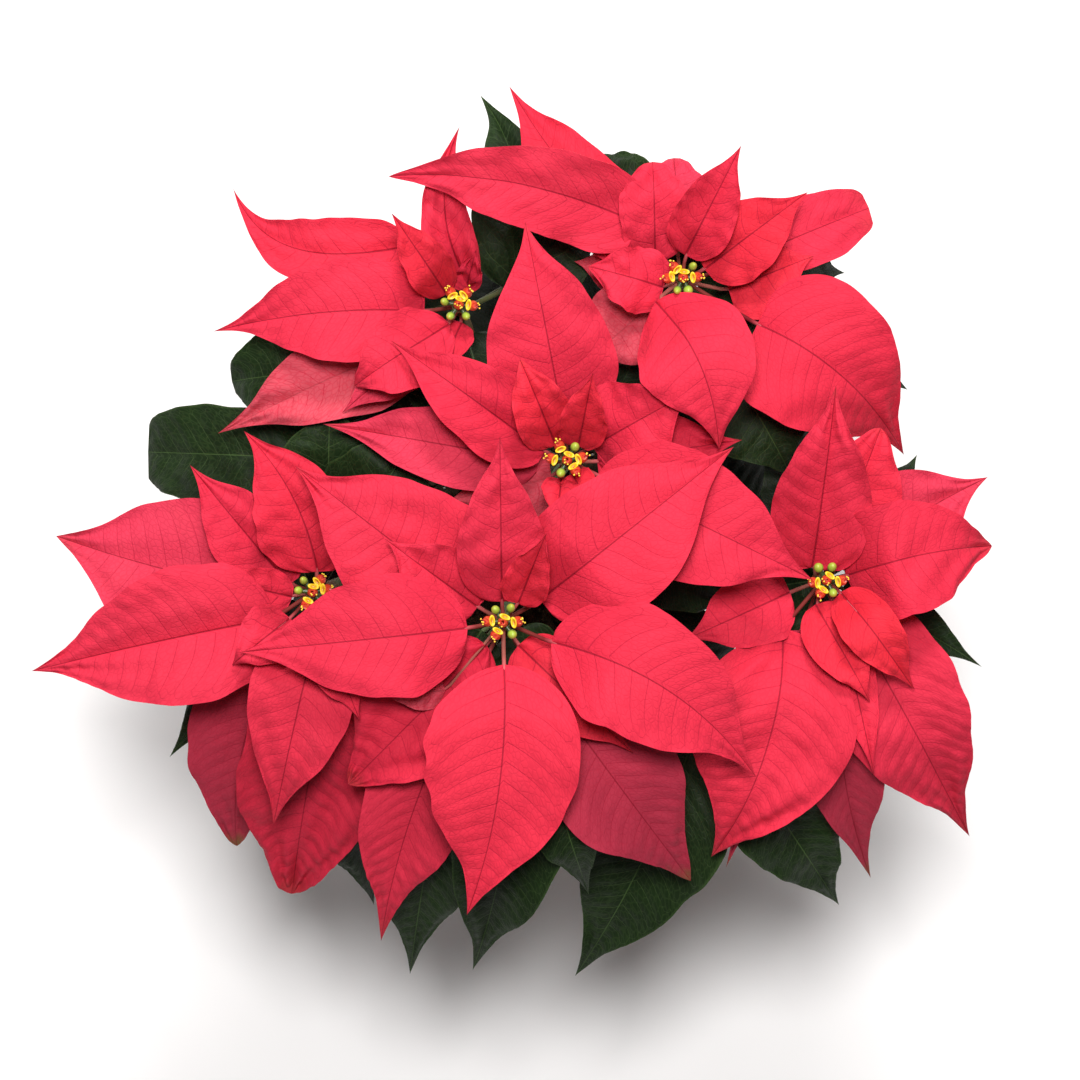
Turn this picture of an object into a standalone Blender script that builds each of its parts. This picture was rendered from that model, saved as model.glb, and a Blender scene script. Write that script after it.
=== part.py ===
# A poinsettia in a plain pot: six heads of red bracts on leafy stems that branch from one woody stem.
# Metres, +Z up. The origin is the middle of the pot's underside.
import math
import random

import bpy
import bmesh
import numpy as np
from mathutils import Vector

MM = 0.001
CLEARANCE = 0.3 * MM

# Pot
POT_HEIGHT = 117 * MM
POT_RADIUS = 76 * MM
POT_FOOT_RADIUS = 54 * MM
POT_WALL = 3.2 * MM
POT_FLOOR = 4 * MM
RIM_HEIGHT = 20 * MM
RIM_STEP = 3 * MM
RIM_TAPER = 1 * MM
LIP_DEPTH = 1.6 * MM
LIP_INSET = 0.8 * MM
INNER_LIP_DEPTH = 2 * MM
INNER_LIP_INSET = 0.6 * MM
BODY_INSET = 0.6 * MM
BODY_SHOULDER = 0.4 * MM
INNER_STEP = 2 * MM
POT_BEVEL = 1.5 * MM
FOOT_FLARE = 1 * MM
DRAIN_HOLES = 5
DRAIN_RADIUS = 4.5 * MM
DRAIN_CIRCLE = 32 * MM
POT_SIDES = 36

# Soil
SOIL_TOP = 101 * MM
SOIL_CROWN = 3 * MM
SOIL_PROFILE = ((0.0, 1.0), (0.5, 0.8), (0.85, 0.0))
SOIL_SIDE_DROP = 5 * MM
SOIL_BEVEL = 2 * MM
STEM_HOLE_DEPTH = 46 * MM
SOIL_SIDES = 32

# Stems
WOOD_RADIUS = 7.5 * MM
WOOD_TOP = 128 * MM
WOOD_TAPER = (1.0, 1.0, 1.0, 0.96, 0.94, 0.8)
BRANCH_START = 112 * MM
BRANCH_REACH = 21 * MM
BRANCH_HEIGHT = 146 * MM
BRANCH_RADIUS = 4 * MM
BRANCH_BEND = (10 * MM, 12 * MM)
BRANCH_AIM = (0.8, 0.75)
FULL_LEAN = 70 * MM
INNER_BRANCH_RISE = 14 * MM
SHOOT_RADIUS = 3.2 * MM
SHOOT_TIP_SHARE = 0.85
SHOOT_BEND = (0.35, 0.42)
HUB_LENGTH = 36 * MM
HUB_RADIUS = 3.2 * MM
HUB_SWELL = (0.9, 1.0, 1.0, 1.0, 1.2)

# Blades
BLADE_THICKNESS = 0.75 * MM
PETIOLE_WIDTH = 2.6 * MM
PETIOLE_THICKNESS = 2.2 * MM
PETIOLE_ROOT = 1.3 * MM
SEAT_FIRST = 5 * MM
SEAT_STEP = 2.3 * MM

# The plan of the plant is read on the photograph, which looks straight down from far above the heads.
# One pixel is PIXEL at the canopy's height, and the point under the viewer is the photograph's middle.
PIXEL = 0.45 * MM
PHOTO_MIDDLE = (540, 540)
VIEW_FOOT = (4.5 * MM, -15.5 * MM)
VIEW_DISTANCE = 2.0
CANOPY = 330 * MM

# Where blades of any nodes lie over each other, the one of the higher tier is bent up by this much.
LAYER_GAP = 2.7 * MM
CELL = 2.5 * MM
FIELD = 0.3

# The outline narrows further towards the drawn-out tip.
TAIL_START = 0.64
TAIL_FULL = 0.93
TAIL_DEPTH = 0.44

BRACT_ROWS = (0.0, 0.1, 0.33, 0.6, 0.84)
SMALL_ROWS = (0.0, 0.14, 0.42, 0.75)
LEAF_ROWS = (0.0, 0.11, 0.32, 0.56, 0.79)
SMALL_WIDTH = 30 * MM
BROAD_WIDTH = 52 * MM

# Heads, in order round the plant: their place in the photograph and their height in millimetres.
HEADS = {
    "front": dict(at=(503, 622), height=345),
    "middle": dict(at=(567, 460), height=332),
    "left": dict(at=(313, 592), height=312),
    "right": dict(at=(826, 580), height=315),
    "back_right": dict(at=(683, 278), height=315),
    "back_left": dict(at=(459, 305), height=315),
}


def blade(base, tip, width, end, arch=8, bow=0, hook=0, fold=8, tier=5, roll=0, wave=1.5, belly=0.42,
          point=1.15, curl=0.0, drop=0, heel=0.62):
    # base and tip are photograph pixels. width, end (the tip's height over the head), arch, bow, hook,
    # wave and drop (how far below the head a leaf grows) are millimetres, fold and roll degrees.
    # A smaller heel makes a rounder foot of the blade, a larger one a wedge.
    return dict(base=base, tip=tip, width=width * MM, end=end * MM, arch=arch * MM, bow=bow * MM,
                hook=hook * MM, fold=math.radians(fold), tier=tier, roll=math.radians(roll),
                wave=wave * MM, belly=belly, point=point, curl=curl, drop=drop * MM, heel=heel)


BRACTS = {
    "front": [
        blade((468, 628), (240, 652), 53, -12, arch=8, fold=8, tier=8.0, curl=0.12),
        blade((478, 607), (385, 539), 34, 8, arch=4, fold=15, tier=7.5),
        blade((478, 607), (295, 466), 64, -5, arch=10, tier=6.8, curl=0.1),
        blade((502, 602), (500, 437), 38, 25, arch=2, fold=14, tier=8.0, curl=0.1),
        blade((518, 604), (546, 534), 20, 30, arch=0, fold=20, tier=8.6),
        blade((540, 600), (733, 447), 60, -5, arch=10, fold=14, tier=8.0, curl=0.15),
        blade((551, 642), (755, 776), 56, -15, arch=16, bow=11, fold=4, tier=8.1, belly=0.46),
        blade((504, 664), (467, 914), 67, -25, arch=10, bow=6, fold=6, tier=8.2, belly=0.46),
        blade((518, 645), (633, 752), 34, -25, arch=5, fold=12, tier=5.0),
        blade((487, 645), (350, 783), 54, -45, arch=12, tier=3.6, wave=3.5, belly=0.55, point=0.8),
        blade((488, 655), (381, 941), 48, -85, arch=22, bow=-7, fold=10, tier=2.6, belly=0.55),
        blade((520, 650), (690, 879), 58, -75, arch=20, tier=2.4, belly=0.58, point=0.9),
        blade((446, 690), (382, 692), 16, -22, arch=6, fold=-14, tier=3.8, point=0.9),
    ],
    "middle": [
        blade((566, 435), (525, 222), 55, 5, arch=14, fold=10, tier=5.6, belly=0.46),
        blade((545, 452), (391, 341), 36, 0, arch=10, fold=14, tier=6.2),
        blade((556, 446), (520, 360), 26, 6, arch=6, fold=14, tier=6.3, point=0.8),
        blade((540, 462), (323, 424), 36, -15, arch=10, fold=10, tier=5.0),
        blade((552, 478), (450, 500), 38, -20, arch=6, fold=2, tier=4.8, wave=3),
        blade((578, 447), (593, 373), 21, 22, arch=3, fold=18, tier=6.4),
        blade((592, 447), (690, 392), 42, 5, arch=8, fold=10, tier=5.8, wave=3.5),
        blade((597, 462), (742, 440), 38, -5, arch=4, fold=10, tier=5.7),
        blade((597, 475), (813, 580), 56, 2, arch=12, tier=7.2, belly=0.48),
        blade((572, 473), (592, 512), 16, 8, arch=2, fold=12, tier=6.5),
        blade((562, 478), (556, 520), 16, 8, arch=2, fold=12, tier=6.5),
    ],
    "left": [
        blade((290, 585), (190, 465), 36, 8, arch=8, fold=10, tier=4.0),
        blade((318, 572), (244, 431), 42, 15, arch=6, bow=-6, fold=12, tier=4.6),
        blade((285, 595), (56, 536), 70, -15, arch=12, bow=2, tier=3.0, belly=0.48, point=1.0),
        blade((275, 618), (32, 671), 61, -12, arch=12, bow=-1, fold=26, tier=5.0, curl=0.25, belly=0.41),
        blade((293, 597), (210, 577), 20, 5, arch=3, fold=12, tier=4.5),
        blade((291, 618), (235, 664), 26, -2, arch=4, fold=10, tier=5.5, wave=2.5),
        blade((322, 625), (275, 824), 46, -30, arch=14, fold=6, tier=4.1),
        blade((325, 620), (363, 717), 26, -12, arch=4, tier=5.0),
        blade((300, 625), (237, 846), 52, -80, arch=20, bow=-9, fold=10, tier=2.0, belly=0.56, point=0.75),
        blade((335, 640), (292, 893), 62, -85, arch=18, bow=0, fold=12, tier=2.5, wave=3, belly=0.6,
              point=0.7),
    ],
    "right": [
        blade((812, 568), (836, 386), 44, 30, arch=6, fold=20, tier=6.0, wave=2.5),
        blade((828, 560), (881, 428), 38, 15, arch=5, fold=12, tier=5.2, belly=0.58, point=0.6),
        blade((840, 565), (988, 477), 52, -5, arch=10, bow=2, tier=4.5),
        blade((845, 576), (989, 546), 51, -28, arch=18, bow=3, fold=6, tier=6.1, belly=0.46, point=0.8),
        blade((840, 592), (912, 689), 25, -12, arch=6, fold=12, tier=6.3),
        blade((815, 604), (867, 701), 26, -8, arch=5, fold=10, tier=6.2),
        blade((840, 600), (966, 834), 58, -75, arch=22, bow=-1, fold=10, tier=4.0, belly=0.46),
        blade((832, 602), (868, 773), 22, -40, arch=10, fold=12, tier=4.4),
        blade((782, 628), (709, 853), 71, -55, arch=22, bow=8, fold=6, tier=5.0, belly=0.5),
        blade((790, 592), (684, 640), 34, -5, arch=5, fold=10, tier=4.8),
        blade((838, 610), (868, 875), 36, -95, arch=22, bow=-9, fold=12, tier=2.2, belly=0.55),
        blade((800, 630), (722, 861), 28, -80, arch=16, tier=2.1),
    ],
    "back_right": [
        blade((685, 256), (741, 146), 28, 20, arch=3, fold=12, tier=5.6),
        blade((704, 270), (808, 192), 34, 10, arch=5, fold=10, tier=5.3),
        blade((710, 275), (869, 208), 32, -25, arch=12, fold=6, tier=4.0, belly=0.76, point=0.3),
        blade((728, 291), (814, 256), 36, -5, arch=5, fold=10, tier=4.6),
        blade((756, 325), (904, 455), 63, -55, arch=28, bow=6, fold=4, tier=5.0, belly=0.46, heel=0.42),
        blade((655, 302), (718, 450), 54, 8, arch=16, bow=6, fold=4, tier=6.5, curl=0.15, heel=0.9),
        blade((664, 288), (588, 267), 29, -2, arch=8, fold=4, tier=6.0, wave=2.5, point=0.8),
        blade((655, 302), (583, 366), 40, -22, arch=8, fold=4, tier=4.0, wave=3),
        blade((650, 275), (574, 262), 27, -24, arch=6, fold=4, tier=3.8, wave=2.5),
        blade((650, 258), (509, 86), 37, -20, arch=14, bow=5, tier=4.4, belly=0.46),
        blade((637, 224), (390, 180), 37, -5, arch=16, bow=-6, fold=10, tier=5.0, roll=-14, point=0.85,
              belly=0.46, heel=0.38),
        blade((655, 262), (652, 164), 31, -16, arch=6, fold=12, tier=4.9, belly=0.6, point=0.5),
        blade((676, 236), (674, 158), 29.5, -20, arch=16, fold=8, tier=3.6, belly=0.6, point=0.6),
    ],
    "back_left": [
        blade((425, 312), (213, 332), 46, -12, arch=14, bow=-3, tier=5.1, belly=0.4, point=1.3),
        blade((470, 288), (460, 127), 23, 10, arch=6, bow=9, fold=26, tier=4.2),
        blade((410, 247), (233, 188), 32, -25, arch=14, bow=8, hook=-22, fold=12, tier=3.6),
        blade((447, 295), (392, 214), 21, 20, arch=2, fold=14, tier=4.8),
        blade((450, 324), (357, 388), 34, -15, arch=10, tier=5.6, belly=0.55, point=0.8),
        blade((466, 290), (476, 250), 12, 10, arch=2, fold=12, tier=4.0),
        blade((440, 330), (220, 434), 42, -40, arch=14, tier=3.0),
        blade((445, 328), (345, 415), 29, -28, arch=8, tier=4.0),
        blade((462, 322), (440, 372), 16, -5, arch=3, tier=4.4),
    ],
}

LEAVES = {
    "front": [
        blade((520, 745), (473, 968), 52, -130, arch=20, bow=3, tier=1.5, drop=48),
        blade((448, 760), (410, 974), 46, -140, arch=20, bow=-1, tier=1.3, drop=62),
        blade((540, 740), (588, 888), 36, -120, arch=16, tier=1.6, drop=55),
        blade((440, 690), (360, 760), 40, -100, arch=14, tier=1.2, drop=75),
        blade((482, 630), (440, 690), 30, -62, arch=8, tier=1.9, drop=44),
        blade((510, 634), (545, 690), 34, -60, arch=8, tier=1.9, drop=47),
    ],
    "middle": [
        blade((575, 400), (588, 330), 30, -45, arch=8, tier=1.9, drop=42),
        blade((600, 425), (642, 345), 36, -55, arch=8, tier=1.85, drop=46),
        blade((552, 500), (538, 575), 32, -52, arch=10, tier=1.8, drop=44),
        blade((625, 520), (745, 612), 50, -72, arch=14, tier=1.7, drop=55),
        blade((535, 445), (392, 386), 34, -62, arch=10, tier=1.7, drop=50),
    ],
    "left": [
        blade((330, 460), (148, 452), 46, -75, arch=16, tier=1.5, drop=48, point=0.22, belly=0.74),
        blade((296, 601), (170, 757), 34, -80, arch=14, tier=1.5, drop=50),
        blade((350, 540), (425, 432), 50, -58, arch=12, tier=1.8, drop=45),
        blade((330, 530), (336, 400), 50, -62, arch=12, tier=1.75, drop=45),
        blade((345, 750), (374, 905), 34, -125, arch=18, tier=1.2, drop=66),
        blade((240, 600), (110, 600), 44, -90, arch=16, tier=1.3, drop=60),
        blade((310, 585), (288, 528), 32, -58, arch=8, tier=1.6, drop=43),
    ],
    "right": [
        blade((690, 740), (575, 976), 62, -118, arch=22, bow=3, tier=1.4, drop=62),
        blade((745, 765), (839, 905), 44, -105, arch=18, bow=0, tier=1.6, drop=52),
        blade((842, 588), (982, 667), 25, -72, arch=16, bow=1, tier=1.7, drop=45, heel=0.35),
        blade((842, 570), (915, 455), 38, -85, arch=14, tier=1.3, drop=58, heel=0.4),
        blade((812, 520), (796, 412), 42, -75, arch=12, tier=1.28, drop=54),
        blade((822, 590), (806, 682), 36, -66, arch=8, tier=1.8, drop=52),
        blade((815, 580), (742, 590), 36, -62, arch=8, tier=1.75, drop=48),
        blade((808, 640), (738, 672), 40, -80, arch=10, tier=1.25, drop=64),
    ],
    "back_right": [
        blade((800, 335), (908, 390), 28, -92, arch=18, tier=1.5, drop=55),
        blade((748, 270), (845, 273), 30, -78, arch=16, tier=1.6, drop=50),
        blade((716, 348), (790, 482), 56, -72, arch=16, tier=1.7, drop=46),
        blade((640, 215), (590, 150), 34, -80, arch=14, tier=1.4, drop=60),
        blade((680, 282), (692, 190), 38, -60, arch=8, tier=1.3, drop=43),
        blade((676, 275), (588, 246), 34, -60, arch=8, tier=1.2, drop=46),
        blade((695, 291), (775, 328), 38, -60, arch=8, tier=1.9, drop=42),
    ],
    "back_left": [
        blade((506, 290), (480, 95), 42, -62, arch=16, bow=-12, tier=1.6, drop=46),
        blade((510, 285), (598, 238), 42, -55, arch=14, tier=1.8, drop=50),
        blade((402, 365), (237, 384), 50, -75, arch=18, tier=1.5, drop=48, belly=0.58, point=0.45),
        blade((412, 290), (320, 290), 36, -78, arch=14, tier=1.4, drop=58),
        blade((466, 335), (485, 395), 32, -60, arch=8, tier=1.7, drop=43),
        blade((457, 301), (402, 322), 32, -64, arch=8, tier=1.55, drop=50),
    ],
}

# Two low leaves on each outer shoot hang over the pot's rim, at these bearings in degrees.
LOW_BEARINGS = {
    "front": (-120, -76),
    "left": (-182, -151),
    "right": (-44, 2),
    "back_right": (32, 66),
    "back_left": (100, 142),
}
LOW_DROP = 96 * MM
LOW_BASE = 74 * MM
LOW_TIP = 148 * MM
LOW_END = -158 * MM
LOW_WIDTH = 44 * MM
LOW_ARCH = 20 * MM
LOW_RISE = 6 * MM

CYATHIA_RING = 6
CYATHIA_SPREAD = 6.6 * MM
CYATHIUM_RADIUS = 2.7 * MM
CYATHIUM_HEIGHT = 6.4 * MM
CYATHIA_NECK = (1.5 * MM, 1.4)
CYATHIA_DISC = 3.5 * MM
CYATHIUM_SEAT = (0.5, 1.3)

COLOURS = {
    "pot": ((0.42, 0.14, 0.075), 0.62),
    "soil": ((0.045, 0.028, 0.018), 0.95),
    "wood": ((0.16, 0.12, 0.07), 0.8),
    "leaf": ((0.018, 0.05, 0.018), 0.55),
    "bract": ((0.86, 0.055, 0.085), 0.6),
    "cyathia": ((0.28, 0.36, 0.06), 0.5),
}


def material(name):
    colour, roughness = COLOURS[name]
    made = bpy.data.materials.new(name)
    made.use_nodes = True
    shader = made.node_tree.nodes["Principled BSDF"]
    shader.inputs["Base Color"].default_value = (*colour, 1.0)
    shader.inputs["Roughness"].default_value = roughness
    shader.inputs["Metallic"].default_value = 0.0
    return made


def collection(name):
    made = bpy.data.collections.new(name)
    bpy.context.scene.collection.children.link(made)
    return made


def add_object(name, mesh, finish=None, home=None):
    made = bpy.data.objects.new(name, mesh)
    (home or PARTS).objects.link(made)
    if finish:
        mesh.materials.clear()
        mesh.materials.append(finish)
    return made


def applied(thing):
    # The object's mesh as its modifiers leave it, put in place of the one it had.
    depsgraph = bpy.context.evaluated_depsgraph_get()
    mesh = bpy.data.meshes.new_from_object(thing.evaluated_get(depsgraph))
    thing.modifiers.clear()
    thing.data = mesh
    return thing


def united(trunk, pieces, finish):
    # One union of a node's repeats with what they grow from.
    repeats = collection("repeats")
    for piece in pieces:
        repeats.objects.link(piece)
        PARTS.objects.unlink(piece)
    join = trunk.modifiers.new("join", "BOOLEAN")
    join.operation = "UNION"
    join.operand_type = "COLLECTION"
    join.collection = repeats
    join.solver = "MANIFOLD"
    applied(trunk)
    for piece in pieces:
        bpy.data.objects.remove(piece)
    bpy.data.collections.remove(repeats)
    trunk.data.materials.clear()
    trunk.data.materials.append(finish)
    for face in trunk.data.polygons:
        face.material_index = 0
    return trunk


def tube(name, points, radii, resolution=1):
    # A round stem through the points, closed at both ends.
    curve = bpy.data.curves.new(name, "CURVE")
    curve.dimensions = "3D"
    curve.bevel_depth = 1.0
    curve.bevel_resolution = resolution
    curve.use_fill_caps = True
    spline = curve.splines.new("POLY")
    spline.points.add(len(points) - 1)
    for place, point, radius in zip(spline.points, points, radii):
        place.co = (*point, 1.0)
        place.radius = radius
    guide = bpy.data.objects.new(name + "_guide", curve)
    PARTS.objects.link(guide)
    depsgraph = bpy.context.evaluated_depsgraph_get()
    mesh = bpy.data.meshes.new_from_object(guide.evaluated_get(depsgraph))
    bpy.data.objects.remove(guide)
    rounded = bmesh.new()
    rounded.from_mesh(mesh)
    bmesh.ops.remove_doubles(rounded, verts=rounded.verts, dist=0.01 * MM)
    bmesh.ops.triangulate(rounded, faces=rounded.faces)
    rounded.to_mesh(mesh)
    rounded.free()
    return add_object(name, mesh)


def plan(pixel, height):
    # The point at this height that the viewer sees at this pixel.
    spread = PIXEL * (VIEW_DISTANCE + CANOPY - height) / VIEW_DISTANCE
    x = VIEW_FOOT[0] + (pixel[0] - PHOTO_MIDDLE[0]) * spread
    y = VIEW_FOOT[1] + (PHOTO_MIDDLE[1] - pixel[1]) * spread
    return np.array((x, y, height))


def bezier(a, b, c, d, count):
    t = np.linspace(0, 1, count)[:, None]
    return a * (1 - t) ** 3 + 3 * b * t * (1 - t) ** 2 + 3 * c * t ** 2 * (1 - t) + d * t ** 3


def head_top(name):
    head = HEADS[name]
    return plan(head["at"], head["height"] * MM)


def branch_end(name):
    # The end of the woody branch that carries this shoot, and the direction it points in.
    top = head_top(name)
    bearing = math.atan2(top[1], top[0])
    lean = min(1.0, math.hypot(top[0], top[1]) / FULL_LEAN)
    outward = np.array((math.cos(bearing), math.sin(bearing), 0.0))
    height = BRANCH_HEIGHT + INNER_BRANCH_RISE * (1 - lean)
    end = outward * BRANCH_REACH * lean + np.array((0, 0, height))
    aim = outward * BRANCH_AIM[0] * lean + np.array((0, 0, BRANCH_AIM[1]))
    return end, aim / np.linalg.norm(aim)


def shoot_line(name, count=10):
    # The middle line of a leafy stem, from its branch up to the underside of the red stem tip.
    end, aim = branch_end(name)
    top = head_top(name) - np.array((0, 0, HUB_LENGTH + CLEARANCE))
    start = end + aim * CLEARANCE
    reach = np.linalg.norm(top - start)
    below = top - np.array((0, 0, SHOOT_BEND[1] * reach))
    return bezier(start, start + aim * SHOOT_BEND[0] * reach, below, top, count)


def stem_point(name, drop):
    # The point of the leafy stem that lies this far below the head.
    line = shoot_line(name, 60)
    height = head_top(name)[2] - drop
    return np.array([np.interp(height, line[:, 2], line[:, axis]) for axis in range(3)])


def place(row, root, head_height, rise=0.25):
    # Works out a blade's foot, tip and sideways direction from its row and the point it grows from.
    tip = plan(row["tip"], head_height + row["end"])
    base = plan(row["base"], root[2])
    stalk = math.hypot(base[0] - root[0], base[1] - root[1])
    base[2] = root[2] + rise * stalk
    chord = tip - base
    flat = math.hypot(chord[0], chord[1])
    side = np.array((-chord[1], chord[0], 0)) / flat
    row.update(root=root, foot=base, chord=chord, side=side, lift=np.zeros(len(STATIONS)))
    return row


STATIONS = np.linspace(0, 1, 21)


def half_width(row, s):
    rise = row["heel"] * row["point"] * row["belly"] / (1 - row["belly"])
    s = np.clip(s, 0, 1)
    full = (s / row["belly"]) ** rise * ((1 - s) / (1 - row["belly"])) ** row["point"]
    tail = np.clip((s - TAIL_START) / (TAIL_FULL - TAIL_START), 0, 1)
    tail = tail * tail * (3 - 2 * tail)
    return row["width"] / 2 * full * (1 - TAIL_DEPTH * min(1.0, row["point"]) * tail)


def surface(row, s, t):
    # The upper face of a blade: s runs from its foot (0) to its tip (1), t from edge (-1) to edge (1).
    # Also gives the direction that its thickness is measured in.
    s = np.asarray(s, float)[:, None]
    t = np.asarray(t, float)[None, :]
    up = np.array((0.0, 0.0, 1.0))
    bulge = 4 * s * (1 - s)
    slope = 4 * (1 - 2 * s)
    aside = row["bow"] * bulge + row["hook"] * (s ** 4 - s)
    aside_slope = row["bow"] * slope + row["hook"] * (4 * s ** 3 - 1)
    centre = row["foot"] + row["chord"] * s + up * row["arch"] * bulge + row["side"] * aside
    along = row["chord"] + up * row["arch"] * slope + row["side"] * aside_slope
    along = along / np.linalg.norm(along, axis=1, keepdims=True)
    across = np.stack((-along[:, 1], along[:, 0], np.zeros(len(along))), axis=1)
    across = across / np.linalg.norm(across, axis=1, keepdims=True)
    over = np.cross(along, across)
    turn = row["roll"] * np.clip(s / 0.3, 0, 1)
    sideways = across * np.cos(turn) + over * np.sin(turn)
    over = over * np.cos(turn) - across * np.sin(turn)
    reach = half_width(row, s)
    ripple = row["wave"] * np.sin(2 * math.pi * 1.7 * s + row["phase"] + 1.9 * (t > 0)) * t ** 2
    bend = reach * (np.abs(t) * math.tan(row["fold"]) - row["curl"] * t ** 2)
    height = bend + ripple * np.clip(reach / (12 * MM), 0, 1)
    points = centre[:, None, :] + sideways[:, None, :] * (t * reach)[:, :, None]
    points = points + over[:, None, :] * height[:, :, None]
    points[:, :, 2] += np.interp(s, STATIONS, row["lift"])
    return points, over


def settle(rows):
    # Lays the blades down from the lowest tier to the highest. Each is bent up where it would touch
    # what lies under it, from its foot outward, and stays a little raised beyond.
    cells = int(2 * FIELD / CELL)
    ground = np.full((cells, cells), -1.0)
    across = np.linspace(-1, 1, 41)
    dense = np.linspace(0, 1, 101)
    for row in sorted(rows, key=lambda one: one["tier"]):
        points, over = surface(row, STATIONS, np.linspace(-1, 1, 15))
        columns = ((points[:, :, 0] + FIELD) / CELL).astype(int)
        lines = ((points[:, :, 1] + FIELD) / CELL).astype(int)
        need = (ground[columns, lines] + LAYER_GAP - points[:, :, 2]).max(axis=1)
        need = np.clip(need, 0, None) * np.clip((STATIONS - 0.08) / 0.22, 0, 1)
        lift = np.zeros(len(STATIONS))
        for station, wanted in zip(STATIONS, need):
            before = np.clip(STATIONS / max(station, 0.01), 0, 1)
            before = before * before * (3 - 2 * before)
            after = 1 - 0.45 * np.clip((STATIONS - station) / 0.6, 0, 1)
            lift = np.maximum(lift, wanted * np.where(STATIONS < station, before, after))
        row["lift"] = np.convolve(np.pad(lift, 1, mode="edge"), (0.25, 0.5, 0.25), mode="valid")
        row["lift"][0] = 0
        points, over = surface(row, dense, across)
        columns = ((points[:, :, 0] + FIELD) / CELL).astype(int).ravel()
        lines = ((points[:, :, 1] + FIELD) / CELL).astype(int).ravel()
        heights = points[:, :, 2].ravel()
        for aside in (-1, 0, 1):
            for ahead in (-1, 0, 1):
                np.maximum.at(ground, (columns + aside, lines + ahead), heights)
    return rows


def blade_object(name, row, rows, segments):
    # A closed thin blade with its petiole: a grid shaped by formula, then thickened.
    petiole = (row["foot"] - row["root"])
    length = np.linalg.norm(petiole)
    start = row["root"] + petiole * min(0.5, PETIOLE_ROOT / length)
    edge = np.linspace(-1, 1, segments + 1)
    top, over = surface(row, rows, edge)
    across = np.array((-petiole[1], petiole[0], 0)) / max(math.hypot(petiole[0], petiole[1]), 1e-6)
    first = start + across * (edge * PETIOLE_WIDTH / 2)[:, None]
    foot = row["foot"] + row["side"] * (edge * PETIOLE_WIDTH / 2)[:, None]
    tip, tip_over = surface(row, (1.0,), (0.0,))
    grid = np.concatenate((first[None], foot[None], top[1:]), axis=0)
    level = np.array(((0, 0, 1.0),))
    ups = np.concatenate((level, over[:1], over[1:]), axis=0)
    depth = [PETIOLE_THICKNESS, PETIOLE_THICKNESS] + [BLADE_THICKNESS] * (len(rows) - 1)
    steps = len(grid)

    made = bmesh.new()
    bmesh.ops.create_grid(made, x_segments=steps, y_segments=segments, size=0.5)
    drop = made.verts.layers.float_vector.new("drop")
    for vert in made.verts:
        step = round((vert.co.x + 0.5) * steps)
        lane = round((vert.co.y + 0.5) * segments)
        if step < steps:
            vert.co = grid[step, lane]
            vert[drop] = Vector(ups[step] * -depth[step])
        else:
            vert.co = tip[0, 0]
            vert[drop] = Vector(tip_over[0] * -BLADE_THICKNESS)
    bmesh.ops.remove_doubles(made, verts=made.verts, dist=0.001 * MM)
    bmesh.ops.triangulate(made, faces=made.faces, quad_method="FIXED")
    thick = bmesh.ops.extrude_face_region(made, geom=list(made.faces), use_keep_orig=True)
    for part in thick["geom"]:
        if isinstance(part, bmesh.types.BMVert):
            part.co += part[drop]
    bmesh.ops.triangulate(made, faces=[face for face in made.faces if len(face.verts) > 3])
    bmesh.ops.recalc_face_normals(made, faces=made.faces)
    made.verts.layers.float_vector.remove(drop)
    mesh = bpy.data.meshes.new(name)
    made.to_mesh(mesh)
    made.free()
    return add_object(name, mesh)


def blade_rows(row):
    # How finely a blade is cut: small ones take fewer rows.
    if row["drop"]:
        return LEAF_ROWS, 2
    if row["width"] < SMALL_WIDTH:
        return SMALL_ROWS, 2
    return BRACT_ROWS, 4 if row["width"] > BROAD_WIDTH else 2


def low_leaves(name):
    top = head_top(name)
    rows = []
    for degrees in LOW_BEARINGS.get(name, ()):
        bearing = math.radians(degrees)
        aim = np.array((math.cos(bearing), math.sin(bearing), 0.0))
        row = blade((0, 0), (0, 0), LOW_WIDTH / MM, 0, arch=LOW_ARCH / MM, tier=1.0,
                    drop=LOW_DROP / MM)
        root = stem_point(name, LOW_DROP)
        foot = aim * LOW_BASE + np.array((0, 0, root[2] + LOW_RISE))
        tip = aim * LOW_TIP + np.array((0, 0, top[2] + LOW_END))
        side = np.array((-aim[1], aim[0], 0))
        row.update(root=root, foot=foot, chord=tip - foot, side=side, lift=np.zeros(len(STATIONS)))
        rows.append(row)
    return rows


def plan_blades():
    # Every blade of the plant, placed and then settled on each other.
    draw = random.Random(7)
    every = []
    for name in HEADS:
        top = head_top(name)
        ranked = sorted(BRACTS[name], key=lambda one: -one["tier"])
        for rank, row in enumerate(ranked):
            root = top - np.array((0, 0, SEAT_FIRST + SEAT_STEP * rank))
            place(row, root, top[2])
        for row in LEAVES[name]:
            place(row, stem_point(name, row["drop"]), top[2])
        LEAVES[name] += low_leaves(name)
        for row in BRACTS[name] + LEAVES[name]:
            row["phase"] = draw.uniform(0, 2 * math.pi)
            every.append(row)
    settle(every)


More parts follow.
